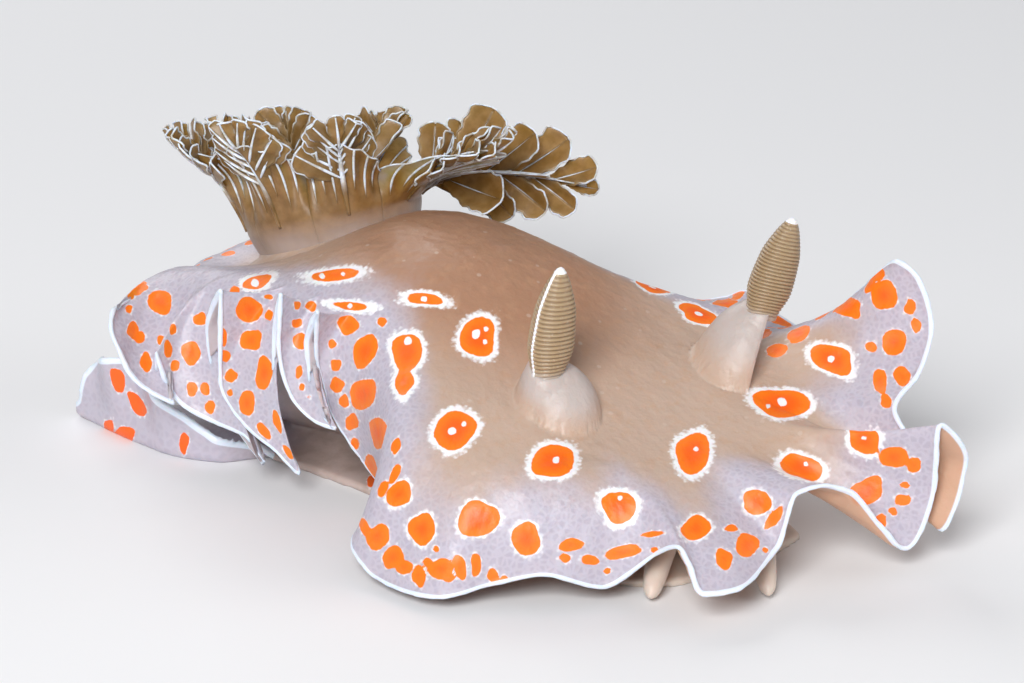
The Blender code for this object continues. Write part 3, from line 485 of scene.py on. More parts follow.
def skirt(angles, s):
    """Skirt surface on a grid of angles and distances s, 0 at the shoulder and 1 at the hem."""
    rim = np.ones_like(angles)
    shoulder = dome(rim, angles)
    round_way = unit((dome(rim, angles + TURN_STEP) - dome(rim, angles - TURN_STEP))[:, :2])
    out_way = np.stack([-round_way[:, 1], round_way[:, 0]], -1)
    slope = unit(shoulder - dome(rim - SLOPE_STEP, angles))
    out_way *= np.sign((out_way * slope[:, :2]).sum(1))[:, None]
    columns = ({key: fold[i] for key, fold in SKIRT_FOLDS.items()} for i in range(3))
    out, rise, lean = (circle_ease(angles, column) for column in columns)
    hem = shoulder.copy()
    hem[:, :2] += out_way * out[:, None] - round_way * lean[:, None]
    hem[:, 2] += rise
    reach = np.linalg.norm(hem - shoulder, axis=1)[:, None]
    middle = shoulder + slope * reach * SKIRT_BULGE
    s = np.reshape(s, (1, -1, 1))
    return (1 - s)**2 * shoulder[:, None] + 2 * s * (1 - s) * middle[:, None] + s**2 * hem[:, None]


def back_height(x, y):
    """Height of the back's surface over a level position."""
    along, side = -y, -x
    for _ in range(HEIGHT_ROUNDS):
        place = place_on_back(np.array(along), np.array(side))
        along += place[1] - y
        side += place[0] - x
    length = FRONT_LENGTH if along > 0 else REAR_LENGTH
    half_width = float(ease(along, SHOULDER_HALF_WIDTH))
    r = math.hypot(along / length, side / half_width)
    angle = math.degrees(math.atan2(side / half_width, along / length))
    return float(dome(np.array([r]), np.array([angle]))[0, 2])


class View:
    """The camera's place and axes, in millimetres, and its pixels."""

    def __init__(self):
        turn, rise = math.radians(CAMERA_AZIMUTH), math.radians(CAMERA_ELEVATION)
        level = np.array([math.sin(turn), -math.cos(turn), 0.0])
        self.back = level * math.cos(rise) + np.array([0.0, 0.0, math.sin(rise)])
        self.right = np.array([math.cos(turn), math.sin(turn), 0.0])
        self.up = np.cross(self.back, self.right)
        self.eye = np.array(CAMERA_TARGET) + self.back * CAMERA_DISTANCE

    def pixels(self, points):
        """Pixel place of each point, and pixels to a millimetre there."""
        away = points - self.eye
        scale = -FOCAL_PIXELS / (away @ self.back)
        x = FRAME_WIDTH / 2 + scale * (away @ self.right)
        y = FRAME_HEIGHT / 2 - scale * (away @ self.up)
        return x, y, scale

    def ray(self, x, y):
        """Start and direction of the line through a pixel."""
        across = (x - FRAME_WIDTH / 2) / FOCAL_PIXELS
        down = (y - FRAME_HEIGHT / 2) / FOCAL_PIXELS
        return Vector(self.eye), Vector(self.right * across - self.up * down - self.back).normalized()


class Pile:
    """Points in millimetres with their marks, and the faces between them."""

    def __init__(self):
        self.points, self.faces, self.marks, self.count = [], [], {}, 0

    def add(self, points, faces, **marks):
        """Adds a mesh. Each mark is one number for all of its points, or one for each."""
        for key in marks:
            self.marks.setdefault(key, [np.zeros(self.count)])
        for key, values in self.marks.items():
            values.append(np.broadcast_to(marks.get(key, 0.0), len(points)))
        self.points.append(points)
        self.faces += [[index + self.count for index in face] for face in faces]
        self.count += len(points)

    def build(self, name, material):
        """One object of all that was added, with its marks."""
        item = new_object(name, np.concatenate(self.points), self.faces, material)
        for key, values in self.marks.items():
            mark(item, key, np.concatenate(values))
        return item


def mark(item, name, values):
    """Writes one number to each point of a mesh, for its material."""
    attribute = item.data.attributes.new(name, "FLOAT", "POINT")
    attribute.data.foreach_set("value", np.asarray(values, np.float32))


def linked(name, data):
    """New object of the scene."""
    item = bpy.data.objects.new(name, data)
    bpy.context.scene.collection.objects.link(item)
    return item


def new_object(name, points, faces, material):
    """Smooth object from points in millimetres, with its faces pointing out."""
    mesh = bpy.data.meshes.new(name)
    mesh.from_pydata((points * MM).tolist(), [], faces)
    if signed_volume(points, faces) < 0:
        mesh.flip_normals()
    mesh.shade_smooth()
    mesh.materials.append(material)
    return linked(name, mesh)


def signed_volume(points, faces):
    """Volume inside the faces, negative if they point in."""
    total = 0.0
    for size in (3, 4):
        group = np.array([face for face in faces if len(face) == size])
        for k in range(1, size - 1):
            if len(group):
                a, b, c = points[group[:, 0]], points[group[:, k]], points[group[:, k + 1]]
                total += float((a * np.cross(b, c)).sum()) / 6
    return total


def grid_faces(rows, columns, closed=True):
    """Faces of a grid of rows of points, its columns closed into rings or open."""
    first = np.arange(rows - 1)[:, None] * columns
    column = np.arange(columns if closed else columns - 1)[None]
    following = (column + 1) % columns
    above = first + columns
    faces = [first + column, first + following, above + following, above + column]
    return np.stack(faces, -1).reshape(-1, 4).tolist()


def sheet_faces(rows, columns):
    """Faces of a thin sheet from two layers of a grid of points, with the walls round its edge."""
    layer = rows * columns
    upper = grid_faces(rows, columns, closed=False)
    lower = [[index + layer for index in reversed(face)] for face in upper]
    last = (rows - 1) * columns
    ring = [*range(columns), *(row * columns + columns - 1 for row in range(1, rows)),
            *(last + column for column in reversed(range(columns - 1))),
            *(row * columns for row in reversed(range(1, rows - 1)))]
    walls = [[a, a + layer, b + layer, b] for a, b in zip(ring, ring[1:] + ring[:1])]
    return upper + lower + walls


def cap(ring_start, count, centre, outward):
    """Fan of faces from a ring of points to a centre point."""
    fan = [[ring_start + i, ring_start + (i + 1) % count, centre] for i in range(count)]
    return [face[::-1] for face in fan] if outward else fan


def ring_faces(rows, columns):
    """Faces of rows of closed rings, with a cap to a point of its own at each end."""
    total = rows * columns
    ends = cap(0, columns, total, True) + cap(total - columns, columns, total + 1, False)
    return grid_faces(rows, columns) + ends


def mantle_angles():
    """Angles of the mantle's columns, evenly spaced along the hem and the shoulder together."""
    angles = np.linspace(0, 360, COLUMN_STEPS + 1)
    hem = skirt(angles, [1.0])[:, 0]
    shoulder = dome(np.ones_like(angles), angles)
    hem_steps, shoulder_steps = (np.linalg.norm(np.diff(line, axis=0), axis=1) for line in (hem, shoulder))
    run = np.concatenate([[0], np.cumsum(hem_steps + SHOULDER_WEIGHT * shoulder_steps)])
    return np.interp(np.arange(MANTLE_COLUMNS) / MANTLE_COLUMNS * run[-1], run, angles)


def skirt_normals(angles, s):
    """Directions out of the skirt's upper side, from wide steps so that folds stay smooth."""
    round_way = skirt(angles + UNDER_SPAN, s) - skirt(angles - UNDER_SPAN, s)
    down_way = skirt(angles, np.asarray(s) + SLOPE_STEP) - skirt(angles, np.asarray(s) - SLOPE_STEP)
    return unit(np.cross(round_way, down_way))


def skirt_under(angles, s):
    """Underside of the skirt, thinner where folds of it lie close together."""
    top = skirt(angles, s)
    normals = skirt_normals(angles, s)
    probe = skirt(angles, np.linspace(0, 1, PROBE_ROWS))
    faces = grid_faces(probe.shape[0], probe.shape[1], closed=False)
    tree = BVHTree.FromPolygons(probe.reshape(-1, 3).tolist(), faces)
    shape = top.shape[:2]
    room = np.full(shape, ROOM_REACH)
    for i in range(shape[0]):
        for k in range(shape[1]):
            way = Vector(-normals[i, k])
            hit = tree.ray_cast(Vector(top[i, k]) + way * ROOM_START, way, ROOM_REACH)
            if hit[0] is not None:
                room[i, k] = hit[3] + ROOM_START
    thickness = UNDER_THICKNESS[0] + (UNDER_THICKNESS[1] - UNDER_THICKNESS[0]) * np.asarray(s)[None]
    return top - normals * np.minimum(thickness, room * ROOM_SHARE)[..., None]


def hem_bead(angles):
    """Rounded rim along the hem, as rows of points from the top to the underside."""
    last = skirt(angles, [1.0 - SLOPE_STEP, 1.0])
    hem = last[:, 1]
    out = unit(last[:, 1] - last[:, 0])
    along = unit(np.roll(hem, -1, axis=0) - np.roll(hem, 1, axis=0))
    up = unit(np.cross(along, out))
    up *= np.sign((up * skirt_normals(angles, [1.0])[:, 0]).sum(1))[:, None]
    out = unit(out - along * (out * along).sum(1)[:, None])
    centre = hem - up * BEAD_RADIUS * BEAD_SINK
    return [centre + BEAD_RADIUS * (out * math.cos(math.radians(turn)) + up * math.sin(math.radians(turn)))
            for turn in BEAD_TURNS]


def raise_sheaths(points):
    """Lifts the back round each rhinophore into a sheath. Gives how far each point lies up a sheath."""
    share = np.zeros(len(points))
    for shape in RHINOPHORES.values():
        axis = np.array(shape["axis"]) / shape["axis"][2]
        base = np.array(shape["base"])
        centre = base + np.array(shape["shift"])
        level = np.linalg.norm(points[:, :2] - centre, axis=1)
        near = np.linalg.norm(points[:, :2] - base, axis=1)
        round_top = np.sqrt(np.maximum(1 - (level / shape["spread"])**2, 0))
        lift = round_top**SHEATH_ROUNDNESS
        lift = np.maximum(lift, 1 - smoothstep(near, SHEATH_PLATEAU, shape["spread"] * SHEATH_BRIM))
        points += axis * (lift * shape["sheath"])[:, None]
        share = np.maximum(share, lift)
    return share


def skin_noise(points, size, depth):
    """Height of fine bumps of a size and depth at each point."""
    return np.array([noise.noise(Vector(point) / size) for point in points]) * depth


def back_rows(angles, radii):
    """Rows of points of the back, each at one share of the way out to the shoulder."""
    return np.stack([dome(np.full_like(angles, r), angles) for r in radii])


def mantle_rows(angles):
    """Rows of the mantle from the hump out to the rim and back in below it.

    Also gives how far each point and the hem lie out from the shoulder along the skin.
    """
    back = back_rows(angles, np.linspace(0, 1, DOME_ROWS + 1)[1:])
    top = skirt(angles, np.linspace(0, 1, SKIRT_ROWS + 1)[1:]).transpose(1, 0, 2)
    bead = np.stack(hem_bead(angles))
    under_s = np.linspace(1, 0, UNDER_ROWS + 1)[1:]
    under = skirt_under(angles, under_s).transpose(1, 0, 2)
    inner = back_rows(angles, INNER_ROWS)
    thickness = UNDER_THICKNESS[0] + (BACK_THICKNESS - UNDER_THICKNESS[0]) * (1 - np.square(INNER_ROWS))
    inner[..., 2] -= thickness[:, None]
    shoulder = dome(np.ones_like(angles), angles)
    steps = np.linalg.norm(np.diff(np.concatenate([shoulder[None], top]), axis=0), axis=2)
    run = np.cumsum(steps, axis=0)
    length = run[-1]
    outward = [-np.linalg.norm(back - shoulder, axis=2), run[:-1], np.tile(length, (len(bead), 1)),
               length * under_s[:, None], np.zeros(inner.shape[:2])]
    return np.concatenate([back, top[:-1], bead, under, inner]), np.concatenate(outward), length


def roughen(points):
    """Moves rows of skin points in and out by fine bumps."""
    lift = sum(skin_noise(points, size, depth) for size, depth in SKIN_BUMPS)
    grid = points.reshape(-1, MANTLE_COLUMNS, 3)
    normals = np.cross(np.roll(grid, -1, axis=1) - np.roll(grid, 1, axis=1), np.gradient(grid, axis=0))
    points += unit(normals).reshape(-1, 3) * lift[:, None]


def make_mantle(material):
    """Back and skirt as one skin, with its rim, its underside and the sheaths."""
    angles = mantle_angles()
    rows, outward, length = mantle_rows(angles)
    count = len(rows)
    points = rows.reshape(-1, 3)
    hump = dome(np.zeros(1), np.zeros(1))[0]
    sheath = np.zeros(len(points))
    on_back = DOME_ROWS * MANTLE_COLUMNS
    sheath[:on_back] = raise_sheaths(points[:on_back])
    under_start = DOME_ROWS + SKIRT_ROWS - 1 + len(BEAD_TURNS)
    roughen(points[:under_start * MANTLE_COLUMNS])

    to_hem = length - outward
    underside = np.zeros_like(outward)
    underside[under_start - BEAD_ROWS_BELOW:] = 1
    side = circle_ease(angles, SIDE_SHARE)
    from_hem = 1 - smoothstep(to_hem, *MARGIN_FROM_HEM)
    from_shoulder = smoothstep(outward, *MARGIN_FROM_SHOULDER)
    margin = from_hem * (1 - side) + from_shoulder * side

    below = hump - np.array([0.0, 0.0, BACK_THICKNESS])
    points = np.concatenate([points, hump[None], below[None]])
    item = new_object("mantle", points, ring_faces(count, MANTLE_COLUMNS), material)
    marks = {
        "margin": (margin, 0.0, 0.0), "to_hem": (to_hem, FAR_FROM_HEM, FAR_FROM_HEM),
        "underside": (underside, 0.0, 1.0), "sheath": (sheath, 0.0, 0.0),
        "side": (np.tile(side, (count, 1)), 0.5, 0.5),
    }
    for key, (values, at_hump, below_hump) in marks.items():
        mark(item, key, np.append(values.ravel(), (at_hump, below_hump)))
    mark(item, "hump", np.exp(-(((points - hump) / HUMP_REACH)**2).sum(1)))
    return item, points


def lobed(offsets_x, offsets_y, half_width, half_height, tilt, chance):
    """Signed distance from the wavy edge of a spot, negative inside it."""
    turn = math.radians(tilt)
    u = (offsets_x * math.cos(turn) + offsets_y * math.sin(turn)) / half_width
    v = (offsets_y * math.cos(turn) - offsets_x * math.sin(turn)) / half_height
    around = np.arctan2(v, u)
    edge = np.ones_like(u)
    for count in SPOT_LOBE_COUNTS:
        depth = SPOT_LOBES * chance.uniform(*SPOT_LOBE_RANGE) / math.sqrt(count - 1)
        edge += depth * np.cos(count * around + chance.uniform(0, FULL_TURN))
    size = (half_width + half_height) / 2
    return (np.hypot(u, v) / edge - 1) * min(size, SLIM_SPOT * min(half_width, half_height))


class Markings:
    """Distances from spots, rings' widths and pupils over the points of a skin."""

    def __init__(self, points):
        self.points = points
        self.spot = np.full(len(points), FAR)
        self.ring = np.full(len(points), HALO_WIDTH)
        self.pupil = np.full(len(points), FAR)

    def add(self, near, distance, ring):
        """Keeps a spot's distances where they are less than those of other spots."""
        closer = distance < self.spot[near]
        chosen = near[closer]
        self.spot[chosen] = distance[closer]
        self.ring[chosen] = ring

    def add_pupil(self, near, distance):
        self.pupil[near] = np.minimum(self.pupil[near], distance)

    def around(self, centre, reach):
        """Indices of the points within reach of a place."""
        return np.flatnonzero(((self.points - centre)**2).sum(1) < reach**2)

    def write(self, item):
        mark(item, "spot", self.spot)
        mark(item, "ring", self.ring)
        mark(item, "pupil", self.pupil)


def mark_seen_spots(view, skins, chance):
    """Marks each spot of the view's tables on the skin that its pixel falls on."""
    trees = [BVHTree.FromObject(item, bpy.context.evaluated_depsgraph_get()) for item, _ in skins]
    tables = ((RINGED_SPOTS, RING_WIDTH), (THIN_RING_SPOTS, THIN_RING_WIDTH), (MARGIN_SPOTS, HALO_WIDTH))
    for table, ring in tables:
        for x, y, width, height, tilt in table:
            centre, index = first_hit(view, trees, x, y)
            markings = skins[index][1]
            near = markings.around(centre, SPOT_REACH + max(width, height) / PIXELS_PER_MM)
            across, up, scale = offsets_seen(view, markings.points[near], x, y)
            size = np.array([width, height]) / 2 / scale
            distance = lobed(across, up, *size, tilt, chance)
            straight = np.linalg.norm(markings.points[near] - centre, axis=1)
            markings.add(near, np.maximum(distance, straight - LONGEST_SPOT * size.max()), ring)
    for x, y, width in PUPILS:
        centre, index = first_hit(view, trees, x, y)
        markings = skins[index][1]
        near = markings.around(centre, SPOT_REACH)
        across, up, scale = offsets_seen(view, markings.points[near], x, y)
        half = width / 2 / scale
        markings.add_pupil(near, lobed(across, up, half, half, 0, chance))


def offsets_seen(view, points, x, y):
    """Points' offsets from a pixel as the view shows them, in millimetres, and pixels to each."""
    px, py, scale = view.pixels(points)
    return (px - x) / scale, (y - py) / scale, scale.mean()


def first_hit(view, trees, x, y):
    """Where the view's line through a pixel first meets a skin, and which one it is."""
    eye, way = view.ray(x, y)
    hits = [(tree.ray_cast(eye * MM, way), index) for index, tree in enumerate(trees)]
    hits = [(hit[3], np.array(hit[0]) / MM, index) for hit, index in hits if hit[0] is not None]
    return min(hits, key=lambda hit: hit[0])[1:]


def mark_far_spots(markings, chance):
    """Marks the side that the view doesn't show with spots of the same kinds."""
    centres = []
    for angle, share in FAR_RINGED_SPOTS:
        centre = dome(np.array([share]), np.array([float(angle)]))[0]
        size = RINGED_SPOT_SIZE * chance.uniform(*RINGED_SPOT_SHARE)
        mark_round(markings, centre, size, RING_WIDTH, chance)
        near = markings.around(centre, SPOT_REACH)
        markings.add_pupil(near, np.linalg.norm(markings.points[near] - centre, axis=1) - FAR_PUPIL_RADIUS)
        centres.append((centre, RINGED_SPOT_SIZE + RING_WIDTH))
    for _ in range(FAR_SPOT_COUNT):
        angle = chance.uniform(*FAR_SPOT_ANGLES)
        place = skirt(np.array([angle]), [chance.uniform(*FAR_SPOT_REACH)])[0, 0]
        size = chance.uniform(*FAR_SPOT_SIZE)
        if all(np.linalg.norm(place - other) > size + reach + FAR_SPOT_GAP for other, reach in centres):
            centres.append((place, size))
            mark_round(markings, place, size, HALO_WIDTH, chance)


def mark_round(markings, centre, size, ring, chance):
    """One lobed spot on the skin about a point of it."""
    near = markings.around(centre, SPOT_REACH + size)
    offsets = markings.points[near] - centre
    lean = unit(np.array([chance.uniform(-1, 1) for _ in range(3)]))
    normal = unit(np.array([centre[0], centre[1] * OUT_ALONG, OUT_HEIGHT]))
    first = unit(np.cross(normal, lean))
    second = np.cross(normal, first)
    straight = np.linalg.norm(offsets, axis=1)
    flat = np.hypot(offsets @ first, offsets @ second) + LEAST_OFFSET
    u, v = offsets @ first / flat * straight, offsets @ second / flat * straight
    sizes = [size * chance.uniform(*FAR_SPOT_STRETCH) for _ in range(2)]
    distance = lobed(u, v, *sizes, 0, chance)
    markings.add(near, distance, ring)


def once_round(count):
    """Evenly spaced angles round a full turn, in radians."""
    return np.linspace(0, 2 * math.pi, count, endpoint=False)


def round_ways(turns, across, along):
    """Directions at some angles between two that stand square."""
    return np.cos(turns)[:, None] * across + np.sin(turns)[:, None] * along


def frame_along(direction, side):
    """Two unit vectors square to a direction, the first as near to side as it can be."""
    direction = Vector(direction).normalized()
    across = (Vector(side) - direction * direction.dot(Vector(side))).normalized()
    return np.array(across), np.array(direction.cross(across))


def make_rhinophore(side, shape, material):
    """Club with fine ridges and a raised pale line, on top of its sheath."""
    x, y = shape["base"]
    foot = np.array([x, y, back_height(x, y)])
    axis = np.array(shape["axis"], float)
    length = float(np.linalg.norm(axis))
    up = axis / length
    across, along = frame_along(axis, (1, 0, 0))
    start = shape["sheath"] - CLUB_SINK
    rows = shape["lamellae"] * CLUB_ROWS_EACH
    t = np.linspace(0, 1, rows + 1)
    turns = once_round(CLUB_COLUMNS)
    line_way = unit(np.array([*shape["line"], 0.0]))
    line_turn = math.atan2(line_way @ along, line_way @ across)
    away = (turns - line_turn + math.pi) % (2 * math.pi) - math.pi
    radius = ease(t, CLUB_PROFILE)[:, None] * np.ones_like(turns)
    phase = t[:, None] - LAMELLA_SAG * (1 - np.cos(away * 2)) / 2 * (1 - t[:, None])
    ridge = np.abs(np.cos(math.pi * shape["lamellae"] * phase))**RIDGE_POWER
    from_line = np.abs(away)[None] * radius
    line = np.exp(-(from_line / LINE_WIDTH)**2)
    fade = smoothstep(t, *RIDGES_START) * (1 - smoothstep(t, *RIDGES_END))
    radius = radius * (1 - LAMELLA_DEPTH * (1 - ridge) * fade[:, None] * (1 - line)) + LINE_HEIGHT * line
    height = start + (length - start) * t
    centre = foot + up * height[:, None]
    points = centre[:, None] + radius[..., None] * round_ways(turns, across, CLUB_SQUEEZE * along)
    tip = foot + up * (length + CLUB_TIP)
    bottom = foot + up * (start - CLUB_ROUNDING)
    points = np.concatenate([points.reshape(-1, 3), [bottom, tip]])
    item = new_object("club_" + side, points, ring_faces(rows + 1, CLUB_COLUMNS), material)
    pale = np.maximum(line, smoothstep(t, *PALE_TIP)[:, None])
    marks = {"pale": pale, "ridge": ridge, "height": t[:, None] * np.ones_like(turns)}
    for key, values in marks.items():
        mark(item, key, np.append(values.ravel(), (0.0, 1.0)))
    return item


def gill_frame():
    """Centre of the gill pocket on the back, and its level and upward directions."""
    x, y = GILL_PLACE
    centre = np.array([x, y, back_height(x, y)])
    up = np.array([0, math.sin(math.radians(GILL_TILT)), math.cos(math.radians(GILL_TILT))])
    across, along = frame_along(up, (1, 0, 0))
    return centre, across, along, up


def make_gill_cup(material):
    """Cup of the gills, its foot spread on the back and its rim wavy under the plumes."""
    centre, across, along, up = gill_frame()
    turns = once_round(CUP_COLUMNS)
    low = CUP_PROFILE[0][1]
    rings = []
    for radius, height in CUP_PROFILE:
        wave = np.cos(len(PLUMES) * turns + CUP_LOBES_TURN)
        wave = 1 + CUP_LOBES * smoothstep(height, low, CUP_LOBES_TOP) * wave
        level = centre + up * height + radius * wave[:, None] * round_ways(turns, across, along)
        if height < CUP_FOOT[1] and radius > CUP_FOOT[0]:
            share = 1 - smoothstep(height, low, CUP_FOOT[1])
            ground = np.array([back_height(x, y) for x, y in level[:, :2]]) + height
            level[:, 2] += (ground - level[:, 2]) * share
        rings.append(level)
    top = CUP_PROFILE[-1][1]
    points = np.concatenate([*rings, [centre - up * CUP_SINK], [centre + up * top]])
    heights = np.repeat([height for _, height in CUP_PROFILE], CUP_COLUMNS)
    item = new_object("gill_cup", points, ring_faces(len(rings), CUP_COLUMNS), material)
    mark(item, "height", np.append(heights, (0.0, top)))
    return item


def bezier(route, t):
    """Place on a curve with three control points."""
    a, b, c = route
    return (1 - t)**2 * a + 2 * t * (1 - t) * b + t**2 * c


def bezier_way(route, t):
    """Direction of the curve at a place on it."""
    a, b, c = route
    return unit((1 - t) * (b - a) + t * (c - b))


def add_tube(pile, line, radii, sides=TUBE_SIDES, **marks):
    """Tube along a line of points, closed at both ends."""
    line = np.asarray(line)
    ways = unit(np.gradient(line, axis=0))
    side = unit(np.cross(ways[0], ASKEW))
    turns = once_round(sides)
    rings = []
    for point, way, radius in zip(line, ways, np.broadcast_to(radii, len(line))):
        side = unit(side - way * (side @ way))
        rings.append(point + radius * round_ways(turns, side, np.cross(way, side)))
    points = np.concatenate([*rings, line[:1], line[-1:]])
    for key, value in marks.items():
        values = np.broadcast_to(value, len(line))
        marks[key] = np.append(np.repeat(values, sides), (values[0], values[-1]))
    pile.add(points, ring_faces(len(line), sides), **marks)


def add_leaf(pile, root, way, face, length, chance):
    """Thin folded leaf with a pale edge and midrib."""
    across = unit(np.cross(way, face))
    t = np.linspace(0, 1, LEAF_ROWS)
    w = np.linspace(-1, 1, LEAF_COLUMNS + 1)
    middle = root + way * (length * t)[:, None] + face * (length * LEAF_BEND * t**2)[:, None]
    half = length * LEAF_WIDTH * ease(t, LEAF_PROFILE)
    fold = math.radians(LEAF_FOLD) * chance.uniform(*LEAF_FOLD_RANGE)
    scallop = LEAF_SCALLOP * np.cos(t * chance.uniform(*LEAF_SCALLOPS) + chance.uniform(*LEAF_PHASE))
    span = half[:, None] * w[None] * (1 + scallop[:, None] * np.abs(w)[None])
    ruffle = LEAF_RUFFLE * np.sin(t * chance.uniform(*LEAF_RUFFLES) + chance.uniform(*LEAF_PHASE))
    ruffle *= smoothstep(t, *LEAF_RUFFLE_START)
    lift = np.abs(span) * math.sin(fold) + ruffle[:, None] * w[None]**2
    points = middle[:, None] + across * (span * math.cos(fold))[..., None] + face * lift[..., None]
    lower = points - face * LEAF_THICKNESS
    sheet = np.stack([points, lower]).reshape(-1, 3)
    along, out = np.repeat(t, len(w)), np.tile(np.abs(w), len(t))
    pile.add(sheet, sheet_faces(len(t), len(w)), along=np.tile(along, 2), out=np.tile(out, 2), vein=0.0)
    edge = np.concatenate([points[1:, 0], points[::-1, -1]])
    place = np.concatenate([t[1:], t[::-1]])
    add_tube(pile, edge, EDGE_RADIUS * smoothstep(place, *LEAF_EDGE_GROWTH) + LEAF_EDGE_LEAST, EDGE_SIDES,
             along=1.0, out=1.0, vein=smoothstep(place, *LEAF_EDGE_PALE))
    add_tube(pile, middle - face * LEAF_THICKNESS, ease(t, RIB_RADIUS), along=1.0, out=1.0, vein=1.0)


def plume_route(angle, reach, rise):
    """Curve from the ring of the gills out and up to a plume's tip, and the level way across it."""
    centre, across, along, up = gill_frame()
    turn = math.radians(angle)
    out = -math.cos(turn) * along - math.sin(turn) * across
    root = centre + out * GILL_RING_RADIUS + up * (GILL_CUP_HEIGHT + PLUME_GAP)
    knee = root + out * reach * PLUME_KNEE[0] + up * max(rise * PLUME_KNEE[1], LEAST_KNEE_RISE)
    return (root, knee, root + out * reach + up * rise), np.cross(up, out), out


def turned_about(vector, axis, degrees):
    """Vector turned about a unit axis."""
    turn = math.radians(degrees)
    return (vector * math.cos(turn) + np.cross(axis, vector) * math.sin(turn)
            + axis * (axis @ vector) * (1 - math.cos(turn)))


def plume_neighbours(index):
    """Angle, reach and rise half way to the next plume on either hand, unwrapped from this one."""
    angle, reach, rise = PLUMES[index]
    sides = []
    for hand in (1, -1):
        other = PLUMES[(index - hand) % len(PLUMES)]
        gap = (other[0] - angle + 180) % 360 - 180
        sides.append((angle + gap / 2, (reach + other[1]) / 2, (rise + other[2]) / 2))
    return sides


def lobe_sheet(index, chance):
    """Rows of points of a plume's membrane from its foot up, and each column's share of the way up."""
    own = np.array(PLUMES[index], float)
    up = gill_frame()[3]
    sides = [np.array(side) for side in plume_neighbours(index)]
    u = np.linspace(-1, 1, LOBE_COLUMNS + 1)
    s = np.linspace(0, 1, LOBE_ROWS + 1)
    phase, wave = chance.uniform(0, FULL_TURN), chance.uniform(0, FULL_TURN)
    columns = []
    tops = []
    for place in u:
        side = sides[0] if place > 0 else sides[1]
        angle, reach, rise = own + (side - own) * abs(place)
        route, _, out = plume_route(angle, reach, rise)
        top = LOBE_TOP[0] + (LOBE_TOP[1] - LOBE_TOP[0]) * abs(place)**LOBE_TOP_POWER
        top += LOBE_SCALLOP[1] * math.cos(LOBE_SCALLOP[0] * place + wave)
        t = s * top
        line = np.array([bezier(route, value) for value in t])
        inward = LOBE_FOLD * place**2 + LOBE_PLEATS[1] * math.cos(LOBE_PLEATS[0] * math.pi * place + phase)
        line = line - out * (inward * smoothstep(t, *LOBE_FOLD_START))[:, None]
        sink = np.linspace(1, 0, LOBE_FOOT_ROWS, endpoint=False)[:, None]
        foot = line[0] - up * LOBE_FOOT[0] * sink - out * LOBE_FOOT[1] * sink**LOBE_FOOT_POWER
        columns.append(np.concatenate([foot, line]))
        tops.append(top)
    return np.stack(columns, 1), np.array(tops)


def add_lobe(pile, index, chance):
    """Curved membrane that fills a plume from the ring up and meets the next plumes at folds."""
    sheet, tops = lobe_sheet(index, chance)
    rows, count = sheet.shape[:2]
    out = plume_route(*PLUMES[index])[2]
    inner = sheet - out * LOBE_THICKNESS
    foot = np.linspace(-LOBE_FOOT_SHARE, 0, LOBE_FOOT_ROWS, endpoint=False)
    s = np.concatenate([foot, np.linspace(0, 1, LOBE_ROWS + 1)])
    height = (s[:, None] * tops[None]).ravel()
    edge = np.repeat(np.abs(s)**LOBE_EDGE_POWER, count)
    pile.add(np.stack([sheet, inner]).reshape(-1, 3), sheet_faces(rows, count),
             along=np.tile(height, 2), out=np.tile(edge, 2), vein=0.0)
    add_tube(pile, sheet[-1], EDGE_RADIUS, EDGE_SIDES, along=1.0, out=1.0, vein=1.0)
    for place, start in LOBE_RIBS:
        column = int(round((place + 1) / 2 * LOBE_COLUMNS))
        first = int(start * LOBE_ROWS) + LOBE_FOOT_ROWS
        line = sheet[first:, column] + out * LOBE_THICKNESS / 2
        share = np.linspace(0, 1, len(line))
        grown = smoothstep(share, *LOBE_RIB_GROWTH)
        radii = LOBE_RIB_RADIUS[0] + (LOBE_RIB_RADIUS[1] - LOBE_RIB_RADIUS[0]) * grown
        add_tube(pile, line, radii, along=1.0, out=1.0, vein=smoothstep(share, *LOBE_RIB_PALE))


def make_gill_plume(index, material, chance):
    """Lobe and midrib with overlapping folded leaves on both sides."""
    route, level, _ = plume_route(*PLUMES[index])
    twist, leaf_start, leaf_size = PLUME_LEAVES[index]
    pile = Pile()
    add_lobe(pile, index, chance)
    t = np.linspace(0, 1, RACHIS_ROWS)
    line = np.array([bezier(route, value) for value in t])
    pale = smoothstep(t, *RACHIS_PALE)
    add_tube(pile, line, ease(t, RACHIS_RADIUS), RACHIS_SIDES, along=t, out=0.0, vein=pale)
    for i in range(LEAF_PAIRS):
        for hand in (-1, 1):
            share = (i + (LEAF_STAGGER if hand > 0 else 0)) / LEAF_PAIRS
            place = leaf_start + (LEAF_END - leaf_start) * share
            forward = bezier_way(route, place)
            side = turned_about(level, forward, twist * smoothstep(place, *LEAF_TWIST_START))
            side = unit(side - forward * (forward @ side))
            inner = unit(np.cross(forward, side))
            spread = math.radians(float(ease(share, LEAF_SPREAD)) + chance.uniform(*LEAF_TURN))
            way = forward * math.cos(spread) + side * hand * math.sin(spread)
            way = unit(way - inner * chance.uniform(*LEAF_DIP))
            face = unit(inner + side * hand * chance.uniform(0.0, LEAF_TILT))
            face = unit(face - way * (way @ face))
            length = float(ease(share, LEAF_LENGTH)) * leaf_size * chance.uniform(*LEAF_SIZE_RANGE)
            add_leaf(pile, bezier(route, place), way, face, length, chance)
    tip = unit(bezier_way(route, 1.0))
    inner = unit(np.cross(tip, side))
    add_leaf(pile, bezier(route, LAST_LEAF), tip, inner, LEAF_LENGTH[1], chance)
    return pile.build(f"gill_leaves_{index + 1}", material)


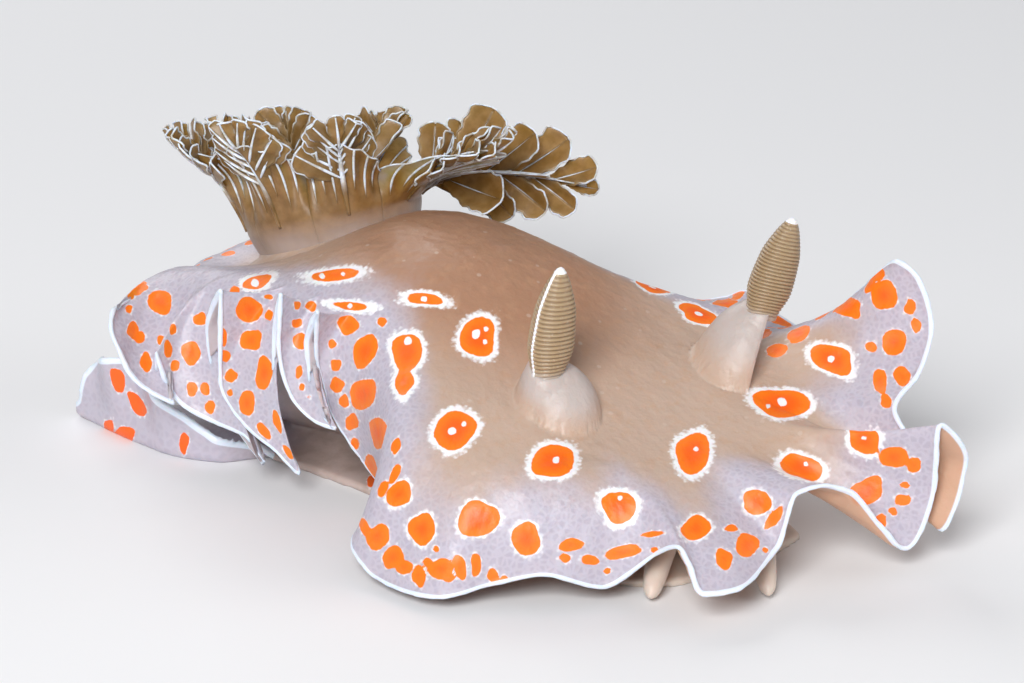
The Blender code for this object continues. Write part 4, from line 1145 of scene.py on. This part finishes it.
def trunk_section(y):
    """Section of the body or head across a station along the animal."""
    centre, half_width = float(ease(y, MIDLINE)), float(ease(y, TRUNK_HALF_WIDTH))
    low, high = float(ease(y, TRUNK_FLOOR)), float(ease(y, TRUNK_TOP))
    turns = once_round(TRUNK_SIDES)
    across = np.sign(np.cos(turns)) * np.abs(np.cos(turns))**TRUNK_SQUARENESS
    upward = np.sign(np.sin(turns)) * np.abs(np.sin(turns))**TRUNK_SQUARENESS
    return np.stack([centre + half_width * across, np.full_like(turns, y),
                     (low + high) / 2 + (high - low) / 2 * upward], -1)


def foot_section(y):
    """Section of the foot: a thin sole whose right margin turns up towards the tail."""
    left, right = float(ease(y, SOLE_LEFT)), float(ease(y, SOLE_RIGHT))
    length, rise = float(ease(y, MARGIN_LENGTH)), math.radians(float(ease(y, MARGIN_RISE)))
    hump = float(ease(y, SOLE_HUMP))
    t = np.linspace(0, 1, SOLE_COLUMNS + 1)
    across = left + (right - left) * t
    height = SOLE_EDGE + (hump - SOLE_EDGE) * np.sin(math.pi * t)**2
    top = [(x - SOLE_EDGE * (SOLE_SLANT - share), y, z) for x, z, share in zip(across, height, t)]
    under = [(x, y, 0.0) for x in across]
    for i in range(1, MARGIN_COLUMNS + 1):
        reach = length * i / MARGIN_COLUMNS
        turn = rise * min(1.0, MARGIN_TURN + reach / MARGIN_BEND)
        wave = TAIL_WAVE[0] * math.sin(TAIL_WAVE[1] * y) * (reach / TAIL_WAVE[2])**TAIL_WAVE[3]
        wave *= smoothstep(y, *TAIL_WAVE_START)
        edge = np.array([right - reach * math.cos(turn) + wave, y, reach * math.sin(turn)])
        under.append(tuple(edge))
        top.append(tuple(edge + SOLE_EDGE * np.array([math.sin(turn), 0, math.cos(turn)])))
    return np.array(top + under[::-1])


def closed_loft(sections):
    """Points and faces of a loft with both ends closed by fans."""
    points = np.concatenate([*sections, [sections[0].mean(0)], [sections[-1].mean(0)]])
    return points, ring_faces(len(sections), len(sections[0]))


def trunk_sections():
    """Sections of body and head from the rear to the mouth, and inwards round the mouth."""
    sections = [trunk_section(y) for y in np.linspace(*TRUNK_ENDS, TRUNK_STATIONS)]
    mouth = sections[-1]
    centre = mouth.mean(0)
    depth = 0.0
    for share, forward in MOUTH_FOLDS:
        depth += forward * MOUTH_DEPTH
        sections.append(centre + (mouth - centre) * share - np.array([0, depth, 0]))
    return sections


def tentacle_sections(root, tip):
    """Sections of an oral tentacle from inside the head to its tip."""
    root, tip = np.array(root), np.array(tip)
    start = root - unit(tip - root) * TENTACLE_ROOT
    across, along = frame_along(tip - root, (0, 0, 1))
    ways = round_ways(once_round(TENTACLE_SIDES), across, along)
    return [start + (tip - start) * t + float(ease(t, TENTACLE_PROFILE)) * ways
            for t in np.linspace(0, 1, TENTACLE_ROWS)]


def make_flesh(material):
    """Body, head, foot, tail and oral tentacles, grown into one smooth skin."""
    pieces = [trunk_sections(), [foot_section(y) for y in np.linspace(*SOLE_ENDS, SOLE_STATIONS)]]
    pieces += [tentacle_sections(*ends) for ends in ORAL_TENTACLES]
    pile = Pile()
    for sections in pieces:
        points, faces = closed_loft(sections)
        if signed_volume(points, faces) < 0:
            faces = [face[::-1] for face in faces]
        pile.add(points, faces)
    mesh, points = grown_together(pile.build("flesh_rough", material))
    item = linked("flesh", mesh)
    y = points[:, 1]
    margin = smoothstep(y, *TAIL_MARGIN_START) * (1 - smoothstep(points[:, 0], *TAIL_MARGIN_INNER))
    mark(item, "tail", np.maximum(margin, smoothstep(y, *TAIL_START)))
    mark(item, "to_rim", distance_from_rim(points))
    mark(item, "front", 1 - smoothstep(y, *HEAD_END))
    return item, points


def grown_together(rough):
    """One smooth mesh in place of overlapping closed ones, level with the floor, and its points."""
    remesh = rough.modifiers.new("remesh", "REMESH")
    remesh.mode = "VOXEL"
    remesh.voxel_size = FLESH_VOXEL * MM
    smooth = rough.modifiers.new("smooth", "SMOOTH")
    smooth.iterations = FLESH_SMOOTHING
    mesh = bpy.data.meshes.new_from_object(rough.evaluated_get(bpy.context.evaluated_depsgraph_get()))
    bpy.data.objects.remove(rough, do_unlink=True)
    mesh.name = "flesh"
    mesh.shade_smooth()
    points = np.zeros(len(mesh.vertices) * 3, np.float32)
    mesh.vertices.foreach_get("co", points)
    points = points.reshape(-1, 3).astype(float) / MM
    points[:, 2] = np.maximum(points[:, 2], 0)
    mesh.vertices.foreach_set("co", (points * MM).astype(np.float32).ravel())
    return mesh, points


def distance_from_rim(points):
    """Distance of each point from the edge of the tail's upturned margin."""
    stations = np.linspace(RIM_START, SOLE_ENDS[1], RIM_STEPS)
    rim = np.array([foot_section(y)[RIM_POINT:RIM_POINT + 2].mean(0) for y in stations])
    distance = np.full(len(points), FAR)
    near = np.flatnonzero(points[:, 1] > RIM_START - 1)
    gaps = [((points[near] - place)**2).sum(1) for place in rim]
    distance[near] = np.sqrt(np.min(gaps, axis=0))
    return distance


class Nodes:
    """Short way to write a material's nodes."""

    def __init__(self, name):
        self.material = bpy.data.materials.new(name)
        self.material.use_nodes = True
        self.tree = self.material.node_tree
        self.shader = self.tree.nodes["Principled BSDF"]
        self.coordinates = self.tree.nodes.new("ShaderNodeTexCoord").outputs["Object"]

    def link(self, value, socket):
        """Links a socket's value, or sets a constant. Three numbers for a colour are made opaque."""
        if isinstance(value, bpy.types.NodeSocket):
            self.tree.links.new(value, socket)
        elif isinstance(value, tuple) and len(socket.default_value) == 4:
            socket.default_value = (*value, 1.0)
        else:
            socket.default_value = value

    def node(self, kind, inputs, output, **settings):
        """One output of a new node with these settings and inputs."""
        node = self.tree.nodes.new("ShaderNode" + kind)
        for key, value in settings.items():
            setattr(node, key, value)
        for key, value in inputs.items():
            self.link(value, node.inputs[key])
        return node.outputs[output]

    def attribute(self, name):
        """Mark of the mesh."""
        return self.node("Attribute", {}, "Fac", attribute_name=name)

    def math(self, operation, a, b=0.0):
        """Sum, difference or product of two values."""
        return self.node("Math", {0: a, 1: b}, 0, operation=operation)

    def ramp(self, value, low, high, start=0.0, end=1.0):
        """Smooth step from start to end as the value goes from low to high."""
        inputs = {"Value": value, "From Min": low, "From Max": high, "To Min": start, "To Max": end}
        return self.node("MapRange", inputs, "Result", interpolation_type="SMOOTHSTEP")

    def mix(self, factor, first, second):
        """Colour between two others."""
        return self.node("Mix", {"Factor": factor, 6: first, 7: second}, 2, data_type="RGBA")

    def uneven(self, value, middle, depth):
        """Value about its middle, scaled to a depth."""
        return self.math("MULTIPLY", self.math("SUBTRACT", value, middle), depth)

    def noise(self, size, detail=2.0, roughness=0.5):
        """Noise with features of a size in millimetres, from 0 to 1."""
        scale = 1 / (size * MM)
        inputs = {"Vector": self.coordinates, "Scale": scale, "Detail": detail, "Roughness": roughness}
        return self.node("TexNoise", inputs, "Fac")

    def cells(self, size, feature="F1"):
        """Distance from the centres or the edges of cells of a size in millimetres."""
        inputs = {"Vector": self.coordinates, "Scale": 1 / (size * MM)}
        return self.node("TexVoronoi", inputs, "Distance", feature=feature)

    def bump(self, height, depth):
        """Surface bumps of a depth in millimetres."""
        inputs = {"Strength": 1.0, "Distance": depth * MM, "Height": height}
        self.link(self.node("Bump", inputs, "Normal"), self.shader.inputs["Normal"])

    def finish(self, colour, roughness, subsurface=0.0, glow=(1.0, 1.0, 1.0), depth=1.0, coat=0.0):
        """Sets the shader's sockets and gives the material. Light spreads to a depth in millimetres."""
        inputs = {
            "Base Color": colour, "Roughness": roughness, "Subsurface Weight": subsurface,
            "Subsurface Radius": glow, "Subsurface Scale": depth * MM, "Coat Weight": coat,
            "Coat Roughness": COAT_ROUGHNESS,
        }
        for key, value in inputs.items():
            self.link(value, self.shader.inputs[key])
        return self.material


def spot_layers(nodes, ground, spot_colour):
    """White ring, spot and white pupils over a ground colour, with fine uneven edges."""
    rough = nodes.uneven(nodes.cells(0.28), 0.35, 0.05)
    fine = nodes.uneven(nodes.noise(0.5, 3.0), 0.5, 0.1)
    edge = nodes.math("ADD", nodes.attribute("spot"), nodes.math("ADD", rough, fine))
    width = nodes.ramp(nodes.noise(0.2, 3.0), 0.3, 0.7, 0.85, 1.2)
    width = nodes.math("MULTIPLY", nodes.attribute("ring"), width)
    frill = nodes.uneven(nodes.cells(0.3), 0.35, 0.3)
    ring_edge = nodes.math("ADD", nodes.math("SUBTRACT", edge, width), frill)
    colour = nodes.mix(nodes.ramp(ring_edge, -0.14, 0.16, 0.94, 0.0), ground, WHITE)
    colour = nodes.mix(nodes.ramp(edge, -0.025, 0.025, 1.0, 0.0), colour, spot_colour)
    pupil = nodes.math("ADD", nodes.attribute("pupil"), nodes.math("MULTIPLY", fine, 0.6))
    return nodes.mix(nodes.ramp(pupil, -0.03, 0.03, 1.0, 0.0), colour, WHITE)


def pebbled_margin(nodes, size, strength):
    """Lavender ground with a pale net round greyer cells."""
    cells = nodes.ramp(nodes.cells(size, "DISTANCE_TO_EDGE"), 0.05, 0.3, 0.0, strength)
    return nodes.mix(cells, LAVENDER, CELL_GREY)


def mantle_material():
    """Tan back, lavender margin with orange spots, white rim and peach underside."""
    nodes = Nodes("mantle_skin")
    back = nodes.mix(nodes.ramp(nodes.attribute("hump"), 0.15, 0.75), GREY_TAN, TAN)
    net = nodes.ramp(nodes.noise(0.9, 4.0, 0.6), 0.5, 0.7, 0.0, 0.3)
    back = nodes.mix(net, back, WARM_NET)
    dots = nodes.ramp(nodes.cells(1.25), 0.08, 0.13, 0.4, 0.0)
    back = nodes.mix(dots, back, PALE_DOT)
    drift = nodes.uneven(nodes.noise(1.6, 3.0), 0.5, 0.5)
    zone = nodes.ramp(nodes.math("ADD", nodes.attribute("margin"), drift), 0.0, 1.0)
    ground = nodes.mix(zone, back, pebbled_margin(nodes, 0.36, 0.6))
    ground = nodes.mix(nodes.ramp(nodes.attribute("sheath"), 0.1, 0.7, 0.0, 0.85), ground, SHEATH_GREY)
    core = nodes.ramp(nodes.attribute("spot"), -0.75, -0.1, 1.0, 0.0)
    seen = spot_layers(nodes, ground, nodes.mix(core, ORANGE, RED_ORANGE))
    below = nodes.mix(nodes.ramp(nodes.attribute("spot"), -0.2, 0.12, 0.75, 0.0), PEACH, UNDER_ORANGE)
    below = nodes.mix(nodes.attribute("side"), below, FOLD_GREY)
    colour = nodes.mix(nodes.attribute("underside"), seen, below)
    rim = nodes.ramp(nodes.attribute("to_hem"), 0.02, 0.12, 1.0, 0.0)
    colour = nodes.mix(rim, colour, RIM_WHITE)
    grain = nodes.math("ADD", nodes.noise(0.25, 4.0), nodes.math("MULTIPLY", nodes.cells(0.5), 0.6))
    nodes.bump(grain, 0.035)
    roughness = nodes.ramp(nodes.noise(1.5), 0.3, 0.7, 0.46, 0.58)
    return nodes.finish(colour, roughness, subsurface=0.35, glow=SKIN_GLOW, depth=0.6, coat=0.15)


def flesh_material():
    """Pale brown flanks and head, and a lavender tail with spots and a white rim."""
    nodes = Nodes("flesh_skin")
    flank = nodes.mix(nodes.ramp(nodes.noise(1.4, 3.0), 0.35, 0.65), FLANK_BROWN, FLANK_PALE)
    flank = nodes.mix(nodes.attribute("front"), flank, HEAD_PALE)
    ground = nodes.mix(nodes.attribute("tail"), flank, pebbled_margin(nodes, 0.55, 0.4))
    colour = spot_layers(nodes, ground, RED_ORANGE)
    rim = nodes.ramp(nodes.attribute("to_rim"), 0.36, 0.46, 1.0, 0.0)
    colour = nodes.mix(rim, colour, RIM_WHITE)
    nodes.bump(nodes.noise(0.3, 4.0), 0.03)
    return nodes.finish(colour, roughness=0.42, subsurface=0.35, glow=SKIN_GLOW, depth=0.6, coat=0.15)


def rhinophore_material():
    """Brown club with paler ridges and grooves darkened partly by painted shade, dusted, with a white line
    and tip.
    """
    nodes = Nodes("rhinophore_skin")
    # Darker brown in the grooves between the ridges: partly the club's own colour, partly painted shade in
    # the grooves
    ridge = nodes.ramp(nodes.attribute("ridge"), 0.3, 0.95)
    club = nodes.mix(ridge, CLUB_SHADED_VALLEY, CLUB_RIDGE)
    club = nodes.mix(nodes.ramp(nodes.attribute("height"), 0.0, 0.12, 0.6, 0.0), club, SHEATH_GREY)
    dust = nodes.ramp(nodes.noise(0.14, 2.0), 0.62, 0.72, 0.0, 0.35)
    club = nodes.mix(dust, club, CLUB_DUST)
    colour = nodes.mix(nodes.ramp(nodes.attribute("pale"), 0.35, 0.6), club, WHITE)
    nodes.bump(nodes.noise(0.12, 3.0), 0.012)
    return nodes.finish(colour, roughness=0.4, subsurface=0.3, glow=CLUB_GLOW, depth=0.4, coat=0.1)


def gill_material():
    """Brown leaves on a pale stem, with white veins and edges."""
    nodes = Nodes("gill_skin")
    along, out = nodes.attribute("along"), nodes.attribute("out")
    brown = nodes.mix(nodes.ramp(nodes.noise(0.8, 3.0), 0.3, 0.7), GILL_DARK, GILL_BROWN)
    edge = nodes.ramp(out, 0.6, 1.0, 0.0, 0.3)
    brown = nodes.mix(edge, brown, GILL_EDGE)
    stem = nodes.ramp(along, -0.2, 0.08, 1.0, 0.0)
    leaf = nodes.mix(stem, brown, GILL_STEM)
    white = nodes.mix(nodes.ramp(nodes.noise(0.6), 0.35, 0.6), VEIN_GREY, VEIN_WHITE)
    colour = nodes.mix(nodes.attribute("vein"), leaf, white)
    nodes.bump(nodes.noise(0.2, 3.0), 0.015)
    return nodes.finish(colour, roughness=0.42, subsurface=0.4, glow=GILL_GLOW, depth=0.5, coat=0.1)


def cup_material():
    """Pale mottled skin, tan at the foot."""
    nodes = Nodes("gill_cup_skin")
    pale = nodes.mix(nodes.ramp(nodes.attribute("height"), 0.0, 2.0), CUP_LOW, CUP_HIGH)
    colour = nodes.mix(nodes.ramp(nodes.noise(0.9, 3.0), 0.45, 0.7, 0.0, 0.4), pale, CUP_MOTTLE)
    nodes.bump(nodes.noise(0.3, 3.0), 0.025)
    return nodes.finish(colour, roughness=0.42, subsurface=0.35, glow=CUP_GLOW, depth=0.6, coat=0.15)


def make_floor():
    """Plain pale floor."""
    bpy.ops.mesh.primitive_plane_add(size=FLOOR_SIZE)
    floor = bpy.context.object
    floor.name = "floor"
    nodes = Nodes("floor_paper")
    floor.data.materials.append(nodes.finish(FLOOR_COLOUR, FLOOR_ROUGHNESS))


def make_lights():
    """Soft studio lamps and an even pale sky."""
    for name, place, size, power in LAMPS:
        light = bpy.data.lights.new(name, "AREA")
        light.size = size
        light.energy = power
        lamp = linked(name, light)
        lamp.location = place
        lamp.rotation_euler = (Vector(LIT_PLACE) - Vector(place)).to_track_quat("-Z", "Y").to_euler()
    world = bpy.data.worlds.new("studio")
    world.use_nodes = True
    background = world.node_tree.nodes["Background"]
    background.inputs["Color"].default_value = (*SKY_COLOUR, 1.0)
    background.inputs["Strength"].default_value = SKY_STRENGTH
    bpy.context.scene.world = world
    bpy.context.scene.view_settings.view_transform = "Standard"


def make_camera(view):
    """Camera at the view's place."""
    camera = linked("camera", bpy.data.cameras.new("camera"))
    camera.data.sensor_width = SENSOR_WIDTH
    camera.data.lens = FOCAL_PIXELS * SENSOR_WIDTH / FRAME_WIDTH
    camera.data.clip_start, camera.data.clip_end = CLIP_RANGE
    camera.location = Vector(view.eye) * MM
    camera.rotation_euler = Vector(-view.back).to_track_quat("-Z", "Y").to_euler()
    bpy.context.scene.camera = camera


def dress(item, slot, *nodes):
    """The piece rides on the animal and stands for these nodes, which are hidden. Its slot is not used."""
    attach(item, "root")
    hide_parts(*nodes)


def main():
    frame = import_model()
    view = View()
    make_floor()
    make_lights()
    make_camera(view)
    chance = random.Random(SEED)
    mantle, mantle_points = make_mantle(mantle_material())
    flesh, flesh_points = make_flesh(flesh_material())
    markings = (Markings(mantle_points), Markings(flesh_points))
    mark_seen_spots(view, ((mantle, markings[0]), (flesh, markings[1])), chance)
    mark_far_spots(markings[0], chance)
    markings[0].write(mantle)
    markings[1].write(flesh)
    skirts = [name for name in frame["nodes"] if name.startswith("mantle_skirt")]
    sheaths = [name for name in frame["nodes"] if name.startswith("rhinophore_sheath")]
    dress(mantle, "back_skin", "back", *skirts, *sheaths)
    dress(flesh, "flank_skin", "body", "head", "foot", "tail", "oral_tentacle_right", "oral_tentacle_left")
    club_skin = rhinophore_material()
    for side, shape in RHINOPHORES.items():
        dress(make_rhinophore(side, shape, club_skin), "rhinophore_skin", "rhinophore_" + side)
    dress(make_gill_cup(cup_material()), "gill_stalk_skin", "gill_base")
    gill_skin = gill_material()
    for index in range(len(PLUMES)):
        dress(make_gill_plume(index, gill_skin, chance), "gill_skin", f"gill_plume_{index + 1}")


main()
